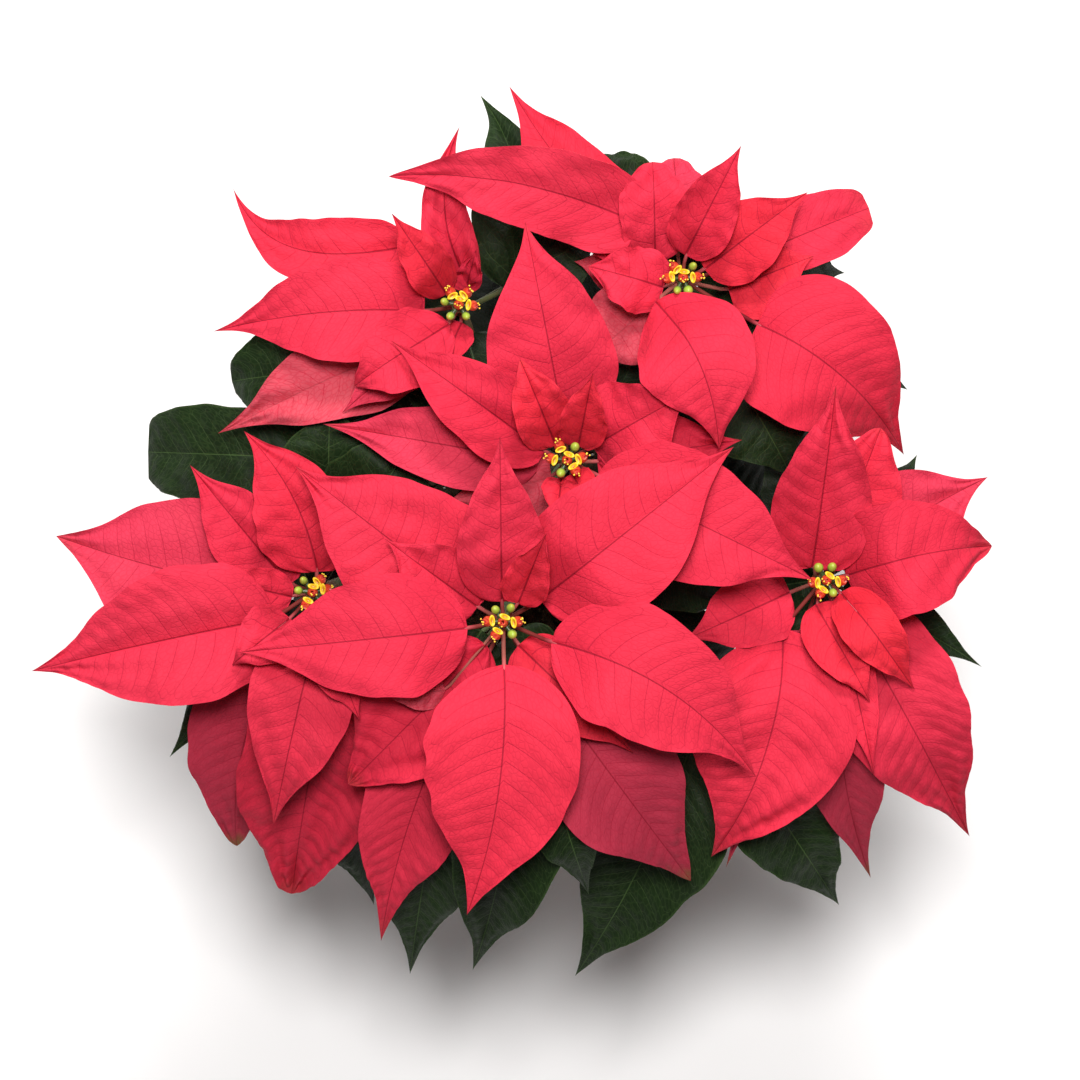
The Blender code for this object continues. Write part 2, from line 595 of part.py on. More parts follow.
def make_pot(finish):
    body_top = POT_RADIUS - RIM_STEP - BODY_INSET
    lower_rim = POT_HEIGHT - RIM_HEIGHT
    inner_rim = POT_RADIUS - POT_WALL - INNER_LIP_INSET
    inner_foot = POT_FOOT_RADIUS - POT_WALL
    profile = [
        (inner_rim, POT_HEIGHT - INNER_LIP_DEPTH),
        (inner_rim + 3 * INNER_LIP_INSET, POT_HEIGHT),
        (POT_RADIUS - LIP_INSET, POT_HEIGHT),
        (POT_RADIUS, POT_HEIGHT - LIP_DEPTH),
        (POT_RADIUS - RIM_TAPER, lower_rim),
        (body_top, lower_rim - BODY_SHOULDER),
        (POT_FOOT_RADIUS + FOOT_FLARE, POT_BEVEL),
        (POT_FOOT_RADIUS, 0.0),
        (0.0, 0.0),
        (0.0, POT_FLOOR),
        (inner_foot - POT_BEVEL, POT_FLOOR),
        (inner_foot, POT_FLOOR + POT_BEVEL),
        (body_top - POT_WALL, lower_rim - INNER_STEP),
    ]
    turned = bmesh.new()
    corners = [turned.verts.new((radius, 0, height)) for radius, height in profile]
    for start, stop in zip(corners, corners[1:] + corners[:1]):
        turned.edges.new((start, stop))
    mesh = bpy.data.meshes.new("pot")
    turned.to_mesh(mesh)
    turned.free()
    pot = add_object("pot", mesh, finish)
    screw = pot.modifiers.new("turn", "SCREW")
    screw.steps = POT_SIDES
    screw.render_steps = POT_SIDES
    screw.use_merge_vertices = True
    screw.merge_threshold = 0.01 * MM
    for hole in range(DRAIN_HOLES):
        angle = 2 * math.pi * hole / DRAIN_HOLES
        centre = (DRAIN_CIRCLE * math.cos(angle), DRAIN_CIRCLE * math.sin(angle), POT_FLOOR / 2)
        bpy.ops.mesh.primitive_cylinder_add(vertices=16, radius=DRAIN_RADIUS, depth=4 * POT_FLOOR,
                                            location=centre)
        cut(pot, bpy.context.object, "drain_%d" % hole)
    pot.data.shade_smooth()
    return pot


def cut(thing, cutter, name):
    cutter.name = name
    for home in list(cutter.users_collection):
        home.objects.unlink(cutter)
    CUTTERS.objects.link(cutter)
    cutter.hide_render = True
    cutter.display_type = "WIRE"
    hole = thing.modifiers.new(name, "BOOLEAN")
    hole.operation = "DIFFERENCE"
    hole.object = cutter
    hole.solver = "EXACT"


def make_soil(finish):
    lower_rim = POT_HEIGHT - RIM_HEIGHT
    foot = POT_FOOT_RADIUS - POT_WALL - POT_BEVEL - 2 * CLEARANCE
    wall_top = POT_RADIUS - RIM_STEP - POT_WALL - BODY_INSET
    wall_height = lower_rim - INNER_STEP - POT_FLOOR - POT_BEVEL
    slope = (wall_top - (POT_FOOT_RADIUS - POT_WALL)) / wall_height
    shoulder = wall_top - 3 * CLEARANCE
    low = POT_FLOOR + CLEARANCE
    profile = [(share * shoulder, SOIL_TOP + rise * SOIL_CROWN) for share, rise in SOIL_PROFILE]
    profile += [
        (shoulder, lower_rim - SOIL_SIDE_DROP),
        (foot + slope * SOIL_BEVEL, low + SOIL_BEVEL),
        (foot, low),
        (0.0, low),
    ]
    turned = bmesh.new()
    corners = [turned.verts.new((radius, 0, height)) for radius, height in profile]
    for start, stop in zip(corners, corners[1:]):
        turned.edges.new((start, stop))
    mesh = bpy.data.meshes.new("soil")
    turned.to_mesh(mesh)
    turned.free()
    soil = add_object("soil", mesh, finish)
    screw = soil.modifiers.new("turn", "SCREW")
    screw.steps = SOIL_SIDES
    screw.render_steps = SOIL_SIDES
    screw.use_merge_vertices = True
    screw.merge_threshold = 0.01 * MM
    bpy.ops.mesh.primitive_cylinder_add(vertices=16, radius=WOOD_RADIUS + 2 * CLEARANCE,
                                        depth=2 * STEM_HOLE_DEPTH,
                                        location=(0, 0, SOIL_TOP + SOIL_CROWN))
    cut(soil, bpy.context.object, "stem_hole")
    soil.data.shade_smooth()
    return soil


def make_wood(finish):
    foot = SOIL_TOP + SOIL_CROWN - STEM_HOLE_DEPTH + CLEARANCE
    heights = np.linspace(foot, WOOD_TOP, len(WOOD_TAPER))
    trunk = tube("main_stem", [(0, 0, height) for height in heights],
                 [WOOD_RADIUS * share for share in WOOD_TAPER], 2)
    branches = []
    for name in HEADS:
        end, aim = branch_end(name)
        start = np.array((0, 0, BRANCH_START))
        line = bezier(start, start + (0, 0, BRANCH_BEND[0]), end - aim * BRANCH_BEND[1], end, 7)
        branches.append(tube("branch_" + name, line, [BRANCH_RADIUS] * 7))
    return united(trunk, branches, finish)


def make_shoot(name, finish):
    line = shoot_line(name)
    radii = np.linspace(SHOOT_RADIUS, SHOOT_RADIUS * SHOOT_TIP_SHARE, len(line))
    stem = tube("leafy_stem_" + name, line, radii)
    leaves = []
    for number, row in enumerate(LEAVES[name]):
        rows, segments = blade_rows(row)
        leaves.append(blade_object("leaf_%s_%d" % (name, number), row, rows, segments))
    return united(stem, leaves, finish)


def make_head(name, finish):
    top = head_top(name)
    steps = np.linspace(-HUB_LENGTH, 0, len(HUB_SWELL))
    hub = tube("bracts_" + name, [top + (0, 0, step) for step in steps],
               [HUB_RADIUS * share for share in HUB_SWELL])
    pieces = []
    for number, row in enumerate(BRACTS[name]):
        rows, segments = blade_rows(row)
        pieces.append(blade_object("bract_%s_%d" % (name, number), row, rows, segments))
    return united(hub, pieces, finish)


def ball(name, centre, size, rings=3, sides=6):
    made = bmesh.new()
    bmesh.ops.create_uvsphere(made, u_segments=sides, v_segments=rings, radius=1.0)
    for vert in made.verts:
        vert.co = Vector((vert.co.x * size[0], vert.co.y * size[1], vert.co.z * size[2])) + Vector(centre)
    bmesh.ops.triangulate(made, faces=made.faces)
    mesh = bpy.data.meshes.new(name)
    made.to_mesh(mesh)
    made.free()
    return add_object(name, mesh)


def make_cyathia(name, finish):
    # A ring of small urns round one in the middle, each with a yellow gland at its lip.
    top = head_top(name) + (0, 0, CLEARANCE)
    draw = random.Random(name)
    neck_height, neck_share = CYATHIA_NECK
    base = tube("cyathia_" + name, [top, top + (0, 0, neck_height), top + (0, 0, CYATHIA_DISC)],
                [HUB_RADIUS, HUB_RADIUS * neck_share, CYATHIA_SPREAD])
    pieces = []
    places = [(0.0, 0.0)]
    for step in range(CYATHIA_RING):
        angle = 2 * math.pi * (step + draw.uniform(-0.2, 0.2)) / CYATHIA_RING
        reach = CYATHIA_SPREAD * draw.uniform(0.92, 1.08)
        places.append((reach * math.cos(angle), reach * math.sin(angle)))
    for number, (x, y) in enumerate(places):
        height = CYATHIUM_HEIGHT * draw.uniform(0.85, 1.1)
        centre = top + (x, y, height / 2 + draw.uniform(*CYATHIUM_SEAT) * MM)
        size = (CYATHIUM_RADIUS, CYATHIUM_RADIUS, height / 2)
        pieces.append(ball("urn_%s_%d" % (name, number), centre, size))
    return united(base, pieces, finish)


def build():
    finishes = {name: material(name) for name in COLOURS}
    plan_blades()
    make_pot(finishes["pot"])
    make_soil(finishes["soil"])
    make_wood(finishes["wood"])
    for name in HEADS:
        make_shoot(name, finishes["leaf"])
        make_head(name, finishes["bract"])
        make_cyathia(name, finishes["cyathia"])


for thing in list(bpy.data.objects):
    bpy.data.objects.remove(thing)
PARTS = collection("poinsettia")
CUTTERS = collection("cutters")
build()
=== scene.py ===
import math
import random

import bpy
import bmesh
import numpy as np
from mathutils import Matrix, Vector


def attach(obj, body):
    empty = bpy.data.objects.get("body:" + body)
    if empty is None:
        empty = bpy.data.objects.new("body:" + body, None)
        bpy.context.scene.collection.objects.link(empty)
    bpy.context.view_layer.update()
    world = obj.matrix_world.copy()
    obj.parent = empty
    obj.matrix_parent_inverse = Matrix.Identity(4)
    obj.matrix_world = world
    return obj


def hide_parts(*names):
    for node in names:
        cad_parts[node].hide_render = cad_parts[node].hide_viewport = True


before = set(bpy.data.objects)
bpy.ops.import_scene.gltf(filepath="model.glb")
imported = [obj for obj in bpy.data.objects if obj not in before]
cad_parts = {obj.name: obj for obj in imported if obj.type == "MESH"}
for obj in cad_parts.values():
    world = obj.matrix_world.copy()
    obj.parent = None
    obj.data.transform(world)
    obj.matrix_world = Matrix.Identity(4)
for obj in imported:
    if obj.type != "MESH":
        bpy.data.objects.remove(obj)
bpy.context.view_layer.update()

# A poinsettia in a plain pot, seen from straight above. The blades follow the same plan and the same
# rule for settling on each other as the solids do, cut finely, with puckers, ruffles and veins.

mm = 0.001
scene = bpy.context.scene

# What the plan is read with: photograph pixels, carried to real millimetres at the canopy's height
planView = {
    "pixel": 0.45 * mm,
    "middle": (540, 540),
    "foot": (4.5 * mm, -15.5 * mm),
    "distance": 2.0,
    "canopy": 330 * mm,
    "imageSize": 1080,
}

camera = {"sensor": 36.0}
light = {
    "world": (1.0, 0.99, 0.985),
    "worldStrength": 0.13,
    "lamps": {        # place, watts, size in metres
        "overhead": ((0.0, 0.60, 3.4), 105.0, 0.8),
        "back": ((0.10, 2.0, 2.1), 50.0, 0.75),
    },
    "lampColour": (1.0, 0.985, 0.975),
    "floor": (0.93, 0.925, 0.925),
    "floorSize": 30.0,
    "bounces": 3,
}


def makeStage():
    data = bpy.data.cameras.new("camera")
    data.sensor_width = camera["sensor"]
    halfView = planView["imageSize"] / 2 * planView["pixel"]
    data.lens = camera["sensor"] / 2 * planView["distance"] / halfView
    data.clip_start = 0.1
    data.clip_end = 60
    viewer = bpy.data.objects.new("camera", data)
    scene.collection.objects.link(viewer)
    viewer.location = (*planView["foot"], planView["canopy"] + planView["distance"])
    scene.camera = viewer

    world = bpy.data.worlds.new("studio")
    world.use_nodes = True
    world.node_tree.nodes["Background"].inputs["Color"].default_value = (*light["world"], 1)
    world.node_tree.nodes["Background"].inputs["Strength"].default_value = light["worldStrength"]
    scene.world = world

    for name, (place, energy, size) in light["lamps"].items():
        lamp = bpy.data.lights.new(name, "AREA")
        lamp.energy = energy
        lamp.size = size
        lamp.color = light["lampColour"]
        lamp.shape = "DISK"
        shining = bpy.data.objects.new(name, lamp)
        scene.collection.objects.link(shining)
        shining.location = place
        aim = Vector((0, 0, 0.2)) - shining.location
        shining.rotation_euler = aim.to_track_quat("-Z", "Y").to_euler()

    bpy.ops.mesh.primitive_plane_add(size=light["floorSize"], location=(0, 0, 0))
    floor = bpy.context.object
    floor.name = "floor"
    material = bpy.data.materials.new("floor")
    material.use_nodes = True
    shader = material.node_tree.nodes["Principled BSDF"]
    shader.inputs["Base Color"].default_value = (*light["floor"], 1)
    shader.inputs["Roughness"].default_value = 0.9
    shader.inputs["Specular IOR Level"].default_value = 0.1
    floor.data.materials.append(material)
    scene.view_settings.view_transform = "Standard"
    scene.cycles.diffuse_bounces = light["bounces"]
    print("stage, light and camera")


# Shader maths: a wire is a socket that can be used in sums
class Wire:
    def __init__(self, tree, socket=None):
        self.tree = tree
        self.socket = socket

    def node(self, kind, settings=None, values=None, out=0):
        made = self.tree.nodes.new(kind)
        for name, value in (settings or {}).items():
            if name == "stops":
                ramp = made.color_ramp
                while len(ramp.elements) < len(value):
                    ramp.elements.new(0.5)
                for stop, (place, colour) in zip(ramp.elements, value):
                    stop.position = place
                    stop.color = (*colour, 1) if len(colour) == 3 else colour
            else:
                setattr(made, name, value)
        for name, value in (values or {}).items():
            if isinstance(value, Wire):
                self.tree.links.new(value.socket, made.inputs[name])
            else:
                made.inputs[name].default_value = value
        return Wire(self.tree, made.outputs[out])

    def math(self, operation, *others, clamp=False):
        values = dict(enumerate((self, *others)))
        return self.node("ShaderNodeMath", {"operation": operation, "use_clamp": clamp}, values)

    def swapped(self, operation, other):
        return self.node("ShaderNodeMath", {"operation": operation}, {0: other, 1: self})

    def __add__(self, other): return self.math("ADD", other)
    def __radd__(self, other): return self.math("ADD", other)
    def __sub__(self, other): return self.math("SUBTRACT", other)
    def __rsub__(self, other): return self.swapped("SUBTRACT", other)
    def __mul__(self, other): return self.math("MULTIPLY", other)
    def __rmul__(self, other): return self.math("MULTIPLY", other)
    def __truediv__(self, other): return self.math("DIVIDE", other)
    def __rtruediv__(self, other): return self.swapped("DIVIDE", other)
    def __pow__(self, other): return self.math("POWER", other)
    def __neg__(self): return self * -1.0
    def __abs__(self): return self.math("ABSOLUTE")

    def held(self):        # kept between 0 and 1
        return self.math("ADD", 0.0, clamp=True)

    def step(self, low, high):        # smooth rise from 0 at low to 1 at high
        values = {"Value": self, "From Min": low, "From Max": high}
        return self.node("ShaderNodeMapRange", {"interpolation_type": "SMOOTHSTEP"}, values)

    def mixed(self, first, second):        # colours, mixed by this wire
        settings = {"data_type": "RGBA"}
        return self.node("ShaderNodeMix", settings, {0: self, 6: asColour(first), 7: asColour(second)}, 2)


def asColour(value):
    if isinstance(value, Wire):
        return value
    return (*value, 1.0) if len(value) == 3 else value


def attribute(sheet, name):
    return sheet.node("ShaderNodeAttribute", {"attribute_name": name}, out="Fac")


def noise(sheet, scale, detail=3.0, rough=0.55, place=None):
    place = place or sheet.node("ShaderNodeTexCoord", out="Object")
    return sheet.node("ShaderNodeTexNoise", None,
                      {"Vector": place, "Scale": scale, "Detail": detail, "Roughness": rough})


def newSheet(name):
    material = bpy.data.materials.new(name)
    material.use_nodes = True
    return material, Wire(material.node_tree)


def dress(material, sheet, colour, roughness, height=None, bumpStrength=0.3, bumpDistance=0.0004,
          **fixed):
    shader = material.node_tree.nodes["Principled BSDF"]
    for name, value in (("Base Color", colour), ("Roughness", roughness)):
        if isinstance(value, Wire):
            sheet.tree.links.new(value.socket, shader.inputs[name])
        else:
            shader.inputs[name].default_value = asColour(value) if name == "Base Color" else value
    if height is not None:
        bump = sheet.node("ShaderNodeBump", None, {"Height": height, "Strength": bumpStrength,
                                                    "Distance": bumpDistance})
        sheet.tree.links.new(bump.socket, shader.inputs["Normal"])
    for name, value in fixed.items():
        shader.inputs[name.replace("_", " ")].default_value = value
    return material


# Heads, in order round the plant: their place in the photograph and their height in millimetres
heads = {
    "front": {"at": (503, 622), "height": 345},
    "middle": {"at": (567, 460), "height": 332},
    "left": {"at": (313, 592), "height": 312},
    "right": {"at": (826, 580), "height": 315},
    "back_right": {"at": (683, 278), "height": 315},
    "back_left": {"at": (459, 305), "height": 315},
}


def blade(base, tip, width, end, arch=8, bow=0, hook=0, fold=8, tier=5, roll=0, wave=1.5, belly=0.42,
          point=1.15, curl=0.0, drop=0, heel=0.62, kind="lit"):
    # base and tip are photograph pixels. width, end (the tip's height over the head), arch, bow, hook,
    # wave and drop (how far below the head a leaf grows) are millimetres, fold and roll degrees.
    # A smaller heel makes a rounder foot of the blade, a larger one a wedge.
    return dict(base=base, tip=tip, width=width * mm, end=end * mm, arch=arch * mm, bow=bow * mm,
                hook=hook * mm, fold=math.radians(fold), tier=tier, roll=math.radians(roll),
                wave=wave * mm, belly=belly, point=point, curl=curl, drop=drop * mm, heel=heel,
                kind=kind)


bracts = {
    "front": [
        blade((468, 628), (240, 652), 53, -12, arch=8, fold=8, tier=8.0, curl=0.12),
        blade((478, 607), (385, 539), 34, 8, arch=4, fold=15, tier=7.5),
        blade((478, 607), (295, 466), 64, -5, arch=10, tier=6.8, curl=0.1, kind="rough"),
        blade((502, 602), (500, 437), 38, 25, arch=2, fold=14, tier=8.0, curl=0.1),
        blade((518, 604), (546, 534), 20, 30, arch=0, fold=20, tier=8.6, kind="young"),
        blade((540, 600), (733, 447), 60, -5, arch=10, fold=14, tier=8.0, curl=0.15),
        blade((551, 642), (755, 776), 56, -15, arch=16, bow=11, fold=4, tier=8.1, belly=0.46),
        blade((504, 664), (467, 914), 67, -25, arch=10, bow=6, fold=6, tier=8.2, belly=0.46),
        blade((518, 645), (633, 752), 34, -25, arch=5, fold=12, tier=5.0, kind="young"),
        blade((487, 645), (350, 783), 54, -45, arch=12, tier=3.6, wave=3.5, belly=0.55, point=0.8,
              kind="deep"),
        blade((488, 655), (381, 941), 48, -85, arch=22, bow=-7, fold=10, tier=2.6, belly=0.55,
              kind="rough"),
        blade((520, 650), (690, 879), 58, -75, arch=20, tier=2.4, belly=0.58, point=0.9, kind="old"),
        blade((446, 690), (382, 692), 16, -22, arch=6, fold=-14, tier=3.8, point=0.9, kind="back"),
    ],
    "middle": [
        blade((566, 435), (525, 222), 55, 5, arch=14, fold=10, tier=5.6, belly=0.46),
        blade((545, 452), (391, 341), 36, 0, arch=10, fold=14, tier=6.2),
        blade((556, 446), (520, 360), 26, 6, arch=6, fold=14, tier=6.3, point=0.8, kind="young"),
        blade((540, 462), (323, 424), 36, -15, arch=10, fold=10, tier=5.0, kind="pale"),
        blade((552, 478), (450, 500), 38, -20, arch=6, fold=2, tier=4.8, wave=3, kind="back"),
        blade((578, 447), (593, 373), 21, 22, arch=3, fold=18, tier=6.4, kind="young"),
        blade((592, 447), (690, 392), 42, 5, arch=8, fold=10, tier=5.8, wave=3.5),
        blade((597, 462), (742, 440), 38, -5, arch=4, fold=10, tier=5.7, kind="deep"),
        blade((597, 475), (813, 580), 56, 2, arch=12, tier=7.2, belly=0.48),
        blade((572, 473), (592, 512), 16, 8, arch=2, fold=12, tier=6.5, kind="young"),
        blade((562, 478), (556, 520), 16, 8, arch=2, fold=12, tier=6.5, kind="young"),
    ],
    "left": [
        blade((290, 585), (190, 465), 36, 8, arch=8, fold=10, tier=4.0),
        blade((318, 572), (244, 431), 42, 15, arch=6, bow=-6, fold=12, tier=4.6),
        blade((285, 595), (56, 536), 70, -15, arch=12, bow=2, tier=3.0, belly=0.48, point=1.0, kind="pale"),
        blade((275, 618), (32, 671), 61, -12, arch=12, bow=-1, fold=26, tier=5.0, curl=0.25, belly=0.41,
              kind="rough"),
        blade((293, 597), (210, 577), 20, 5, arch=3, fold=12, tier=4.5),
        blade((291, 618), (235, 664), 26, -2, arch=4, fold=10, tier=5.5, wave=2.5),
        blade((322, 625), (275, 824), 46, -30, arch=14, fold=6, tier=4.1),
        blade((325, 620), (363, 717), 26, -12, arch=4, tier=5.0),
        blade((300, 625), (237, 846), 52, -80, arch=20, bow=-9, fold=10, tier=2.0, belly=0.56, point=0.75,
              kind="old"),
        blade((335, 640), (292, 893), 62, -85, arch=18, bow=0, fold=12, tier=2.5, wave=3, belly=0.6,
              point=0.7, kind="deep"),
    ],
    "right": [
        blade((812, 568), (836, 386), 44, 30, arch=6, fold=20, tier=6.0, wave=2.5, kind="rough"),
        blade((828, 560), (881, 428), 38, 15, arch=5, fold=12, tier=5.2, belly=0.58, point=0.6),
        blade((840, 565), (988, 477), 52, -5, arch=10, bow=2, tier=4.5, kind="pale"),
        blade((845, 576), (989, 546), 51, -28, arch=18, bow=3, fold=6, tier=6.1, belly=0.46, point=0.8),
        blade((840, 592), (912, 689), 25, -12, arch=6, fold=12, tier=6.3, kind="young"),
        blade((815, 604), (867, 701), 26, -8, arch=5, fold=10, tier=6.2, kind="young"),
        blade((840, 600), (966, 834), 58, -75, arch=22, bow=-1, fold=10, tier=4.0, belly=0.46, kind="rough"),
        blade((832, 602), (868, 773), 22, -40, arch=10, fold=12, tier=4.4),
        blade((782, 628), (709, 853), 71, -55, arch=22, bow=8, fold=6, tier=5.0, belly=0.5,
              kind="rough"),
        blade((790, 592), (684, 640), 34, -5, arch=5, fold=10, tier=4.8),
        blade((838, 610), (868, 875), 36, -95, arch=22, bow=-9, fold=12, tier=2.2, belly=0.55, kind="old"),
        blade((800, 630), (722, 861), 28, -80, arch=16, tier=2.1, kind="old"),
    ],
    "back_right": [
        blade((685, 256), (741, 146), 28, 20, arch=3, fold=12, tier=5.6),
        blade((704, 270), (808, 192), 34, 10, arch=5, fold=10, tier=5.3, kind="young"),
        blade((710, 275), (869, 208), 32, -25, arch=12, fold=6, tier=4.0, belly=0.76, point=0.3),
        blade((728, 291), (814, 256), 36, -5, arch=5, fold=10, tier=4.6, kind="young"),
        blade((756, 325), (904, 455), 63, -55, arch=28, bow=6, fold=4, tier=5.0, belly=0.46, heel=0.42),
        blade((655, 302), (718, 450), 54, 8, arch=16, bow=6, fold=4, tier=6.5, curl=0.15, heel=0.9),
        blade((664, 288), (588, 267), 29, -2, arch=8, fold=4, tier=6.0, wave=2.5, point=0.8),
        blade((655, 302), (583, 366), 40, -22, arch=8, fold=4, tier=4.0, wave=3, kind="back"),
        blade((650, 275), (574, 262), 27, -24, arch=6, fold=4, tier=3.8, wave=2.5, kind="back"),
        blade((650, 258), (509, 86), 37, -20, arch=14, bow=5, tier=4.4, belly=0.46),
        blade((637, 224), (390, 180), 37, -5, arch=16, bow=-6, fold=10, tier=5.0, roll=-14, point=0.85,
              belly=0.46, heel=0.38),
        blade((655, 262), (652, 164), 31, -16, arch=6, fold=12, tier=4.9, belly=0.6, point=0.5),
        blade((676, 236), (674, 158), 29.5, -20, arch=16, fold=8, tier=3.6, belly=0.6, point=0.6,
              kind="pale"),
    ],
    "back_left": [
        blade((425, 312), (213, 332), 46, -12, arch=14, bow=-3, tier=5.1, belly=0.4, point=1.3),
        blade((470, 288), (460, 127), 23, 10, arch=6, bow=9, fold=26, tier=4.2, kind="deep"),
        blade((410, 247), (233, 188), 32, -25, arch=14, bow=8, hook=-22, fold=12, tier=3.6),
        blade((447, 295), (392, 214), 21, 20, arch=2, fold=14, tier=4.8, kind="young"),
        blade((450, 324), (357, 388), 34, -15, arch=10, tier=5.6, belly=0.55, point=0.8),
        blade((466, 290), (476, 250), 12, 10, arch=2, fold=12, tier=4.0, kind="deep"),
        blade((440, 330), (220, 434), 42, -40, arch=14, tier=3.0, kind="back"),
        blade((445, 328), (345, 415), 29, -28, arch=8, tier=4.0, kind="pale"),
        blade((462, 322), (440, 372), 16, -5, arch=3, tier=4.4),
    ],
}

leaves = {
    "front": [
        blade((520, 745), (473, 968), 52, -130, arch=20, bow=3, tier=1.5, drop=48),
        blade((448, 760), (410, 974), 46, -140, arch=20, bow=-1, tier=1.3, drop=62),
        blade((540, 740), (588, 888), 36, -120, arch=16, tier=1.6, drop=55),
        blade((440, 690), (360, 760), 40, -100, arch=14, tier=1.2, drop=75),
        blade((482, 630), (440, 690), 30, -62, arch=8, tier=1.9, drop=44),
        blade((510, 634), (545, 690), 34, -60, arch=8, tier=1.9, drop=47),
    ],
    "middle": [
        blade((575, 400), (588, 330), 30, -45, arch=8, tier=1.9, drop=42),
        blade((600, 425), (642, 345), 36, -55, arch=8, tier=1.85, drop=46),
        blade((552, 500), (538, 575), 32, -52, arch=10, tier=1.8, drop=44),
        blade((625, 520), (745, 612), 50, -72, arch=14, tier=1.7, drop=55),
        blade((535, 445), (392, 386), 34, -62, arch=10, tier=1.7, drop=50),
    ],
    "left": [
        blade((330, 460), (148, 452), 46, -75, arch=16, tier=1.5, drop=48, point=0.22, belly=0.74),
        blade((296, 601), (170, 757), 34, -80, arch=14, tier=1.5, drop=50),
        blade((350, 540), (425, 432), 50, -58, arch=12, tier=1.8, drop=45),
        blade((330, 530), (336, 400), 50, -62, arch=12, tier=1.75, drop=45),
        blade((345, 750), (374, 905), 34, -125, arch=18, tier=1.2, drop=66),
        blade((240, 600), (110, 600), 44, -90, arch=16, tier=1.3, drop=60),
        blade((310, 585), (288, 528), 32, -58, arch=8, tier=1.6, drop=43),
    ],
    "right": [
        blade((690, 740), (575, 976), 62, -118, arch=22, bow=3, tier=1.4, drop=62),
        blade((745, 765), (839, 905), 44, -105, arch=18, bow=0, tier=1.6, drop=52),
        blade((842, 588), (982, 667), 25, -72, arch=16, bow=1, tier=1.7, drop=45, heel=0.35),
        blade((842, 570), (915, 455), 38, -85, arch=14, tier=1.3, drop=58, heel=0.4),
        blade((812, 520), (796, 412), 42, -75, arch=12, tier=1.28, drop=54),
        blade((822, 590), (806, 682), 36, -66, arch=8, tier=1.8, drop=52),
        blade((815, 580), (742, 590), 36, -62, arch=8, tier=1.75, drop=48),
        blade((808, 640), (738, 672), 40, -80, arch=10, tier=1.25, drop=64),
    ],
    "back_right": [
        blade((800, 335), (908, 390), 28, -92, arch=18, tier=1.5, drop=55),
        blade((748, 270), (845, 273), 30, -78, arch=16, tier=1.6, drop=50),
        blade((716, 348), (790, 482), 56, -72, arch=16, tier=1.7, drop=46),
        blade((640, 215), (590, 150), 34, -80, arch=14, tier=1.4, drop=60),
        blade((680, 282), (692, 190), 38, -60, arch=8, tier=1.3, drop=43),
        blade((676, 275), (588, 246), 34, -60, arch=8, tier=1.2, drop=46),
        blade((695, 291), (775, 328), 38, -60, arch=8, tier=1.9, drop=42),
    ],
    "back_left": [
        blade((506, 290), (480, 95), 42, -62, arch=16, bow=-12, tier=1.6, drop=46),
        blade((510, 285), (598, 238), 42, -55, arch=14, tier=1.8, drop=50),
        blade((402, 365), (237, 384), 50, -75, arch=18, tier=1.5, drop=48, belly=0.58, point=0.45),
        blade((412, 290), (320, 290), 36, -78, arch=14, tier=1.4, drop=58),
        blade((466, 335), (485, 395), 32, -60, arch=8, tier=1.7, drop=43),
        blade((457, 301), (402, 322), 32, -64, arch=8, tier=1.55, drop=50),
    ],
}

# Two low leaves on each outer shoot hang over the pot's rim, at these bearings in degrees
lowLeaves = {
    "bearings": {"front": (-120, -76), "left": (-182, -151), "right": (-44, 2),
                 "back_right": (32, 66), "back_left": (100, 142)},
    "drop": 96, "foot": 74 * mm, "tip": 148 * mm, "end": -158 * mm, "width": 44,
}

stems = {
    "woodRadius": 7.5 * mm, "woodTop": 128 * mm, "woodFoot": 58.3 * mm,
    "branchStart": 112 * mm, "branchReach": 21 * mm, "branchHeight": 146 * mm, "branchRadius": 4 * mm,
    "shootRadius": 3.2 * mm, "hubLength": 36 * mm, "hubRadius": 3.2 * mm, "gap": 0.3 * mm,
}

settling = {"gap": 2.7 * mm, "cell": 2.5 * mm, "field": 0.3, "seatFirst": 5 * mm, "seatStep": 2.3 * mm,
            "open": 0.2, "shallow": 6 * mm, "deep": 55 * mm}
canopy = {}
tail = {"start": 0.64, "full": 0.93, "depth": 0.44}
stations = np.linspace(0, 1, 21)
up = np.array((0.0, 0.0, 1.0))


def plan(pixel, height):
    spread = planView["pixel"] * (planView["distance"] + planView["canopy"] - height)
    spread = spread / planView["distance"]
    x = planView["foot"][0] + (pixel[0] - planView["middle"][0]) * spread
    y = planView["foot"][1] + (planView["middle"][1] - pixel[1]) * spread
    return np.array((x, y, height))


def bezier(a, b, c, d, count):
    t = np.linspace(0, 1, count)[:, None]
    return a * (1 - t) ** 3 + 3 * b * t * (1 - t) ** 2 + 3 * c * t ** 2 * (1 - t) + d * t ** 3


def headTop(name):
    return plan(heads[name]["at"], heads[name]["height"] * mm)


def branchEnd(name):
    top = headTop(name)
    bearing = math.atan2(top[1], top[0])
    lean = min(1.0, math.hypot(top[0], top[1]) / (70 * mm))
    outward = np.array((math.cos(bearing), math.sin(bearing), 0.0))
    end = outward * stems["branchReach"] * lean + up * (stems["branchHeight"] + 14 * mm * (1 - lean))
    aim = outward * 0.8 * lean + up * 0.75
    return end, aim / np.linalg.norm(aim)


def shootLine(name, count=15):
    end, aim = branchEnd(name)
    top = headTop(name) - up * (stems["hubLength"] + stems["gap"])
    start = end + aim * stems["gap"]
    reach = np.linalg.norm(top - start)
    below = top - up * 0.42 * reach
    return bezier(start, start + aim * 0.35 * reach, below, top, count)


def stemPoint(name, drop):
    line = shootLine(name, 60)
    height = headTop(name)[2] - drop
    return np.array([np.interp(height, line[:, 2], line[:, axis]) for axis in range(3)])


